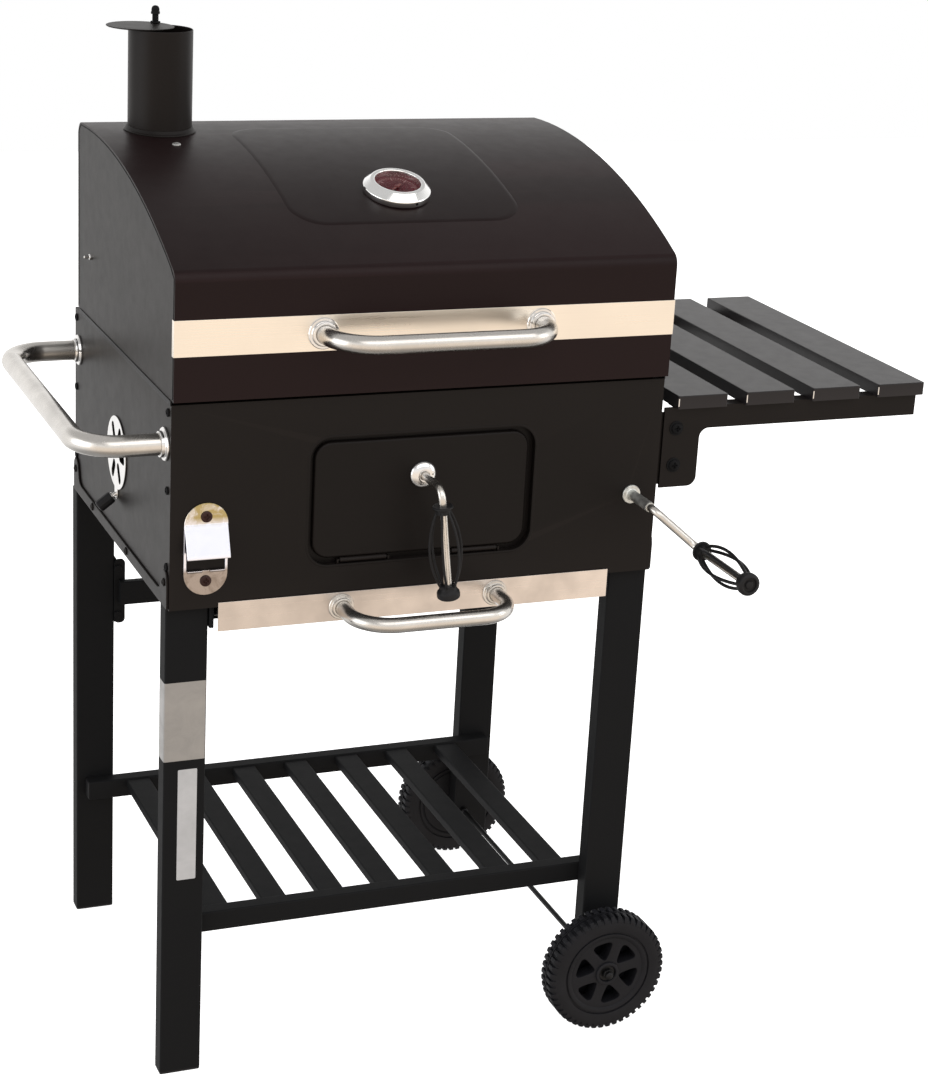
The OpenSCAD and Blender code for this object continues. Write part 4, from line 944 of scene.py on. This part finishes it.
bm = bmesh.new()
radii = (1.2, 8, 14, 20, 24, 27, 29.9)
skin(bm, [placed(gauge, circle(r, 72), 6.8) for r in radii], cap=(False, False))
uv = bm.loops.layers.uv.new("print")
for k, face in enumerate(bm.faces):
    low = k // 72
    for loop, r in zip(face.loops, (radii[low], radii[low], radii[low + 1], radii[low + 1])):
        loop[uv].uv = (r / 30, k % 72 / 72)
piece("gauge_dial_face", bm, DIAL, "lid", ("thermometer_dial",))
bm = bmesh.new()
for i in range(37):
    mark = gauge @ Matrix.Rotation(math.radians(225 - 270 * i / 36), 4, "Z")
    inner, w = (17.5, 0.7) if i % 6 == 0 else (20.5, 0.35)
    skin(bm, [placed(mark, [(inner, -w), (24.2, -w), (24.2, w), (inner, w)], z) for z in (6.75, 6.95)])
piece("gauge_marks", bm, PRINT, "lid")
bm = bmesh.new()
m = gauge @ Matrix.Rotation(math.radians(135), 4, "Z")
blade = [(-1.6, -8), (-1.1, -8.8), (1.1, -8.8), (1.6, -8), (1.5, 0), (0.4, 21.5), (-0.4, 21.5), (-1.5, 0)]
skin(bm, [placed(m, blade, z) for z in (8, 8.8)])
add_lathe(bm, [(1, 5), (1, 7.6), (2.6, 7.8), (2.6, 9.2), (1.8, 9.6), (0, 9.7)], gauge_at,
          gauge_axis, n=28)
piece("gauge_pointer", bm, NEEDLE, "needle", ("thermometer_needle",), bevel=0.12, segments=1)
bm = bmesh.new()
add_lathe(bm,
          [(0, 12.6), (26.3, 12.6), (26.6, 12.8), (26.6, 13.2), (26.3, 13.4), (18, 13.7), (0, 13.8)],
          gauge_at, gauge_axis, n=72)
piece("gauge_lens", bm, GLASS, "lid", ("thermometer_glass",), sharp=70)

# ---- chimney
PIPE_X, PIPE_Y = -220, 131.0
bm = bmesh.new()
add_lathe(bm,
          [(37.1, 1070), (38.5, 1070), (38.5, 1200.9), (38.2, 1201.7), (37.8, 1202), (37.4, 1201.7),
           (37.1, 1200.9), (37.1, 1070)], (PIPE_X, PIPE_Y, 0), UP, n=96)
collar = []
for i in range(96):
    ring = []
    for r, rise in ((38.4, 0.2), (43, 0.05), (43.2, 1), (42.8, 1.8), (41.6, 2.4), (40.8, 3.8), (40.4, 5.6),
                    (39.8, 6.4), (38.4, 6.6)):
        x, y = polar(r, 2 * math.pi * i / 96)
        ring.append(on_top(PIPE_X + x, PIPE_Y + y) + Vector((0, 0, rise)))
    collar.append(ring)
skin(bm, collar, loop=True)
seam = [(-1.6, 38.1), (-1.2, 38.9), (1.2, 38.9), (1.6, 38.1)]
skin(bm, [[Vector((PIPE_X + x, PIPE_Y + y, z)) for x, y in seam] for z in (1088, 1200)])
bmesh.ops.recalc_face_normals(bm, faces=bm.faces)
piece("chimney_pipe_rolled", bm, BODY, "lid", ("chimney_pipe",))

bm = bmesh.new()
sx, sy = -218.5, 162.0   # the stud that the cap turns on
stud = (sx, sy, 0)
add_bar(bm, (sx - 9, sy - 8, 1196), (sx + 9, sy + 6.5, 1198), axis=0, r=0.8, ease=0.3)
add_bar(bm, (sx - 8.5, sy + 4.4, 1188.2), (sx + 8.5, sy + 5.9, 1197.6), axis=0, r=0.6, ease=0.3)
add_lathe(bm, [(2.5, 1192), (2.5, 1216)], stud, UP, n=20)
add_lathe(bm, [(2.5, 1204.3), (5.7, 1204.3), (6, 1204.7), (6, 1205.9), (5.6, 1206.3), (2.5, 1206.3)],
          stud, UP, n=32)
coil = []
for i in range(97):
    x, y = polar(3.3, 2 * math.pi * i / 16)
    coil.append((sx + x, sy + y, 1206.9 + 8.1 * i / 96))
add_tube(bm, coil, 0.7, n=8)
add_nut(bm, 4.8, 3.4, (sx, sy, 1214.9), UP)
add_lathe(bm, [(4.6, 1217.6), (4.9, 1219.2), (4.7, 1221.4), (3.8, 1223.4), (2.2, 1224.6), (0, 1225)],
          stud, UP, n=32)
piece("chimney_pivot_stack", bm, LEGS, "lid", ("chimney_pivot",))

turned = Matrix.Translation((sx, sy, 1202.4)) @ Matrix.Rotation(math.radians(-47), 4, "Z")
bm = bmesh.new()
add_lathe(bm, [(0, 0), (39.6, 0), (40.3, 0.4), (40.5, 0.8), (40.3, 1.2), (39.6, 1.5), (33, 1.5),
               (32.2, 1.35), (31.4, 1.5), (0, 1.5)], turned @ Vector((-1.5, -31, 0)), UP, n=96)
piece("chimney_cap_disc", bm, BODY, "cap", ("chimney_cap",))

# ---- fuel door
bm = bmesh.new()
add_pressing(bm, 131.6, 69.6, 20, 5, 1.5, 3.4, (0, -226, DOOR_Z), FORWARD, steps=5)
for x in (-69, 69):
    add_tube(bm, [(x - 28, -224, 646), (x + 28, -224, 646)], 3.2, n=20)
piece("door_pressing", bm, BODY, "door", ("door_panel",), sharp=40)

HANDLE_Z = 743.5
HANDLE_LEAN = math.radians(6.8)
bm = bmesh.new()
add_lathe(bm, [(4.8, 0), (15.4, 0), (16, 0.5), (16, 1.5), (15.2, 3), (13.4, 4.6), (10.8, 6), (8, 6.9),
               (6.4, 7), (5.2, 6.6), (4.8, 5.8)], (0, -226, HANDLE_Z), FORWARD, n=56)
piece("door_rosette", bm, CHROME, "door", ("door_flange",), sharp=50)

handle = Matrix.Translation((0, 0, HANDLE_Z)) @ Matrix.Rotation(-HANDLE_LEAN, 4, "Y")
ROD_FOOT = cad("door_handle_rod")[0].z + ROD_R * math.sin(HANDLE_LEAN)
HANDLE_DROP = (HANDLE_Z - ROD_FOOT) / math.cos(HANDLE_LEAN)
DOOR_GRIP = 98.0
bm = bmesh.new()
path = arc_path([(0, -213.5, 0), (0, -286, 0), (0, -286, -HANDLE_DROP)], (14,))
add_tube(bm, [handle @ p for p in path], ROD_R)
tongue = [(-46, -6), (3, -6), (3, 6), (-46, 6)]
skin(bm, [[handle @ Vector((x, y, z)) for x, z in tongue] for y in (-217, -214)])
bmesh.ops.recalc_face_normals(bm, faces=bm.faces)
piece("door_handle_bent_rod", bm, TUBE, "door_handle", ("door_handle_rod",), bevel=0.3,
      segments=1, angle=50)
bm = bmesh.new()
add_grip(bm, handle @ Matrix.Translation((0, -286, DOOR_GRIP - HANDLE_DROP + 2)), DOOR_GRIP, 1.5)
piece("door_wire_grip", bm, PLASTIC, "door_handle", ("door_grip",))

# ---- ash drawer
refined("ash_tray", ZINC, "ash_drawer", bevel=0.4)
refined("drawer_front", DRAWER_BAND, "ash_drawer", bevel=0.4)
DRAWER_HANDLE = (-232, 592)
bm = bmesh.new()
add_handle(bm, Matrix.Translation((0, *DRAWER_HANDLE)), 96, 74, 45, 9, 40)
for x in (-96, 96):
    add_flange(bm, 15.5, 12, 8.9, (x, *DRAWER_HANDLE), FORWARD)
piece("drawer_handle_tube", bm, TUBE, "ash_drawer", ("drawer_handle",))

# ---- crank
# straight through the bush, bent out by 70 degrees, then bent back to run parallel again
ARM_OUT, ARM_START, BEND_R, CRANK_GRIP = 64, -283, 16, 105.0
THREAD_TURNS = 52
crank = Matrix.Translation((CRANK_X, 0, CRANK_Z)) @ Matrix.Rotation(math.radians(41.4), 4, "Y")
bend = math.radians(70)
arm_len = (ARM_OUT - 2 * BEND_R * (1 - math.cos(bend))) / math.sin(bend)
arm_run = 2 * BEND_R * math.sin(bend) + arm_len * math.cos(bend)
tangent = BEND_R * math.tan(bend / 2)
grip_y = ARM_START - arm_run - 5.5
bm = bmesh.new()
path = arc_path([(0, -218, 0), (0, ARM_START - tangent, 0), (ARM_OUT, ARM_START - arm_run + tangent, 0),
                 (ARM_OUT, grip_y - CRANK_GRIP, 0)], (BEND_R, BEND_R))
add_tube(bm, [crank @ p for p in path], ROD_R)
count = THREAD_TURNS * 2 + 1
add_tube(bm, [crank @ Vector((0, -218 + 430 * i / (count - 1), 0)) for i in range(count)], 6, n=24,
         scale=[1.0 if i % 2 else 0.86 for i in range(count)])
add_tube(bm, [crank @ Vector((0, y, 0)) for y in (212, 226)], ROD_R, n=24)
piece("crank_bent_rod", bm, TUBE, "crank", ("crank_rod",))
bm = bmesh.new()
m = crank @ Matrix.Translation((ARM_OUT, grip_y, 0)) @ Matrix.Rotation(math.radians(-90), 4, "X")
add_grip(bm, m, CRANK_GRIP, 2)
piece("crank_wire_grip", bm, PLASTIC, "crank", ("crank_grip",))

# ---- vent
VENT_Y, VENT_Z, KNOB_Z = 8, 718, 667
slots = []
for k in range(6):
    c, s = polar(1, math.radians(60 * k))
    loop = []
    for mid, start in ((19, 90), (33, -90)):
        for i in range(9):
            x, y = polar(6, math.radians(start + 180 * i / 8))
            loop.append(((x + mid) * c - y * s, (x + mid) * s + y * c))
    slots.append(loop)
neck = math.asin(7 / 44.5)
edge = [polar(44.5, -math.pi / 2 + neck + (2 * math.pi - 2 * neck) * i / 72) for i in range(73)]
edge += [(x, y - 51) for x, y in (polar(7, math.radians(a)) for a in range(180, 361, 15))]
bm = bmesh.new()
flat_plate(bm, [edge] + slots, 1.4, seat((-301.3, VENT_Y, VENT_Z), (-1, 0, 0), UP))
add_lathe(bm, [(6.6, -0.2), (6.6, 0.4), (5.6, 1.6), (3.2, 2.4), (0, 2.6)], (-302, VENT_Y, VENT_Z),
          (-1, 0, 0), n=36)
add_tube(bm, [(-301, VENT_Y, VENT_Z), (-294, VENT_Y, VENT_Z)], 3, n=20)
piece("vent_disc_pressed", bm, CHROME, "vent", ("vent_disc",))
root = Vector((-302, VENT_Y, KNOB_Z))
knob_way = Vector((-math.cos(math.radians(37)), 0, -math.sin(math.radians(37))))
m = seat(root, knob_way)
knob = []
for r, h in ((5.6, 6), (6.9, 6.6), (7.3, 8), (7.5, 10), (7.5, 23.6), (7.1, 25.4), (5.8, 26.6), (3, 27)):
    ring = []
    for i in range(48):
        a = 2 * math.pi * i / 48
        flute = 0.25 + 0.25 * math.cos(12 * a) if 8.5 < h < 25.0 else 0.0
        ring.append(m @ Vector((*polar(r - flute, a), h)))
    knob.append(ring)
bm = bmesh.new()
skin(bm, knob)
piece("vent_knob_moulded", bm, PLASTIC, "vent", ("vent_knob",))
bm = bmesh.new()
add_tube(bm, [root - knob_way * 0.4, root + knob_way * 6.4], 2.4, n=24)
add_lathe(bm, [(2.3, 0), (4.4, 0), (4.8, 0.4), (4.8, 1.2), (4.2, 1.7), (2.3, 1.9)],
          root + knob_way * 3.4, knob_way, n=36)
piece("vent_knob_stud", bm, CHROME, "vent")

# ---- blank films on the front-left leg
wrap = [(-301.35, -199), (-301.35, -218.2), (-300.7, -219.6), (-299.2, -220.35), (-253.5, -220.35),
        (-252.2, -219.9)]
rings = [[Vector((x, y, z)) for x, y in wrap] for z in (413, 429, 445, 461, 477, 493, 511)]
bm = bmesh.new()
skin(bm, rings, closed=False, cap=(False, False))
piece("leg_film_wide", bm, FOIL, "cart", sharp=80)
bm = bmesh.new()
flat_plate(bm, [rounded_rect(11.5, 71, 1.5, 4)], 0.4, seat((-272.5, -220.45, 330.5), FORWARD), ease=0.1)
piece("leg_film_strip", bm, STRIP, "cart", sharp=60)

# ---- studio
floor = Finish("pale_floor")
floor.set(Base_Color=floor.mix(floor.noise(3.0, 3, 0.5), (0.90, 0.90, 0.90), (0.92, 0.92, 0.92)),
          Roughness=0.9,
          Emission_Color=(1, 1, 1, 1), Emission_Strength=0.86)
mesh = bpy.data.meshes.new("floor")
FLOOR_HALF = 6.0
mesh.from_pydata([(x * FLOOR_HALF, y * FLOOR_HALF, -0.0006) for x,
                  y in ((-1, -1), (1, -1), (1, 1), (-1, 1))],
                 [], [(0, 1, 2, 3)])
ground = bpy.data.objects.new("floor", mesh)
bpy.context.collection.objects.link(ground)
mesh.materials.append(floor.material)
ground.visible_diffuse = False
ground.visible_glossy = False


def soft_light(name, at, look_at, size_x, size_y, power, colour=(1, 1, 1)):
    data = bpy.data.lights.new(name, "AREA")
    data.shape = "RECTANGLE"
    data.size = size_x
    data.size_y = size_y
    data.energy = power
    data.color = colour
    obj = bpy.data.objects.new(name, data)
    bpy.context.collection.objects.link(obj)
    obj.location = at
    obj.rotation_euler = (Vector(look_at) - Vector(at)).to_track_quat("-Z", "Y").to_euler()


soft_light("left_bank", (-3.2, -0.2, 1.2), (-0.2, 0.1, 0.7), 2.4, 2.2, 23, (0.97, 0.98, 1.0))
soft_light("front_bank", (0.4, -2.5, 3.2), (0.0, 0.0, 0.6), 5.0, 2.0, 44, (1.0, 0.97, 0.95))
soft_light("right_bank", (3.0, -1.2, 1.6), (0.3, -0.1, 0.7), 1.2, 1.8, 10)

# world: white to the camera; for the rest bright at eye level and below, dim overhead, warmer low in front
world = bpy.data.worlds.new("studio")
bpy.context.scene.world = world
sky = Nodes(world)
view = sky.add("ShaderNodeTexCoord").outputs["Generated"]
height = sky.part(view, "Z")
level = sky.mul(sky.ramp(height, 0.24, 0.66, 1.15, 0.60, "SMOOTHSTEP"),
                sky.ramp(height, -0.85, -0.38, 0.35, 1.0, "SMOOTHSTEP"))
warmth = sky.mul(sky.ramp(sky.part(view, "Y"), -0.7, 0.2, 1.0, 0.0, "SMOOTHSTEP"),
                 sky.ramp(height, -0.2, 0.35, 1.0, 0.0, "SMOOTHSTEP"))
around = sky.add("ShaderNodeBackground", {"Color": sky.mix(warmth, (1.0, 0.99, 0.98), (1.0, 0.88, 0.76)),
                                          "Strength": level})
seen = sky.add("ShaderNodeBackground", {"Color": (1, 1, 1, 1), "Strength": 1.0})
camera_ray = sky.add("ShaderNodeLightPath").outputs["Is Camera Ray"]
blend = sky.add("ShaderNodeMixShader", {0: camera_ray, 1: around.outputs[0], 2: seen.outputs[0]})
sky.add("ShaderNodeOutputWorld", {0: blend.outputs[0]})

# camera fitted to the photo
CAMERA_AT = (-967.3, -2662.6, 1567.1)
azimuth, elevation, roll = math.radians(-22.78), math.radians(18.97), math.radians(3.18)
across = math.cos(elevation)
back = Vector((math.sin(azimuth) * across, -math.cos(azimuth) * across, math.sin(elevation)))
right = (-back).cross(Vector(UP)).normalized()
up = right.cross(-back)
cam_x = right * math.cos(roll) + up * math.sin(roll)
cam_y = up * math.cos(roll) - right * math.sin(roll)
cam_data = bpy.data.cameras.new("photo_camera")
cam_data.sensor_width = 36.0
cam_data.lens = 79.5
cam_data.clip_end = 60.0
cam = bpy.data.objects.new("photo_camera", cam_data)
bpy.context.collection.objects.link(cam)
turn = Matrix((cam_x, cam_y, back)).transposed().to_4x4()
cam.matrix_world = Matrix.Translation(TO_ROW @ Vector(CAMERA_AT)) @ turn
bpy.context.scene.camera = cam
bpy.context.scene.view_settings.view_transform = "Standard"
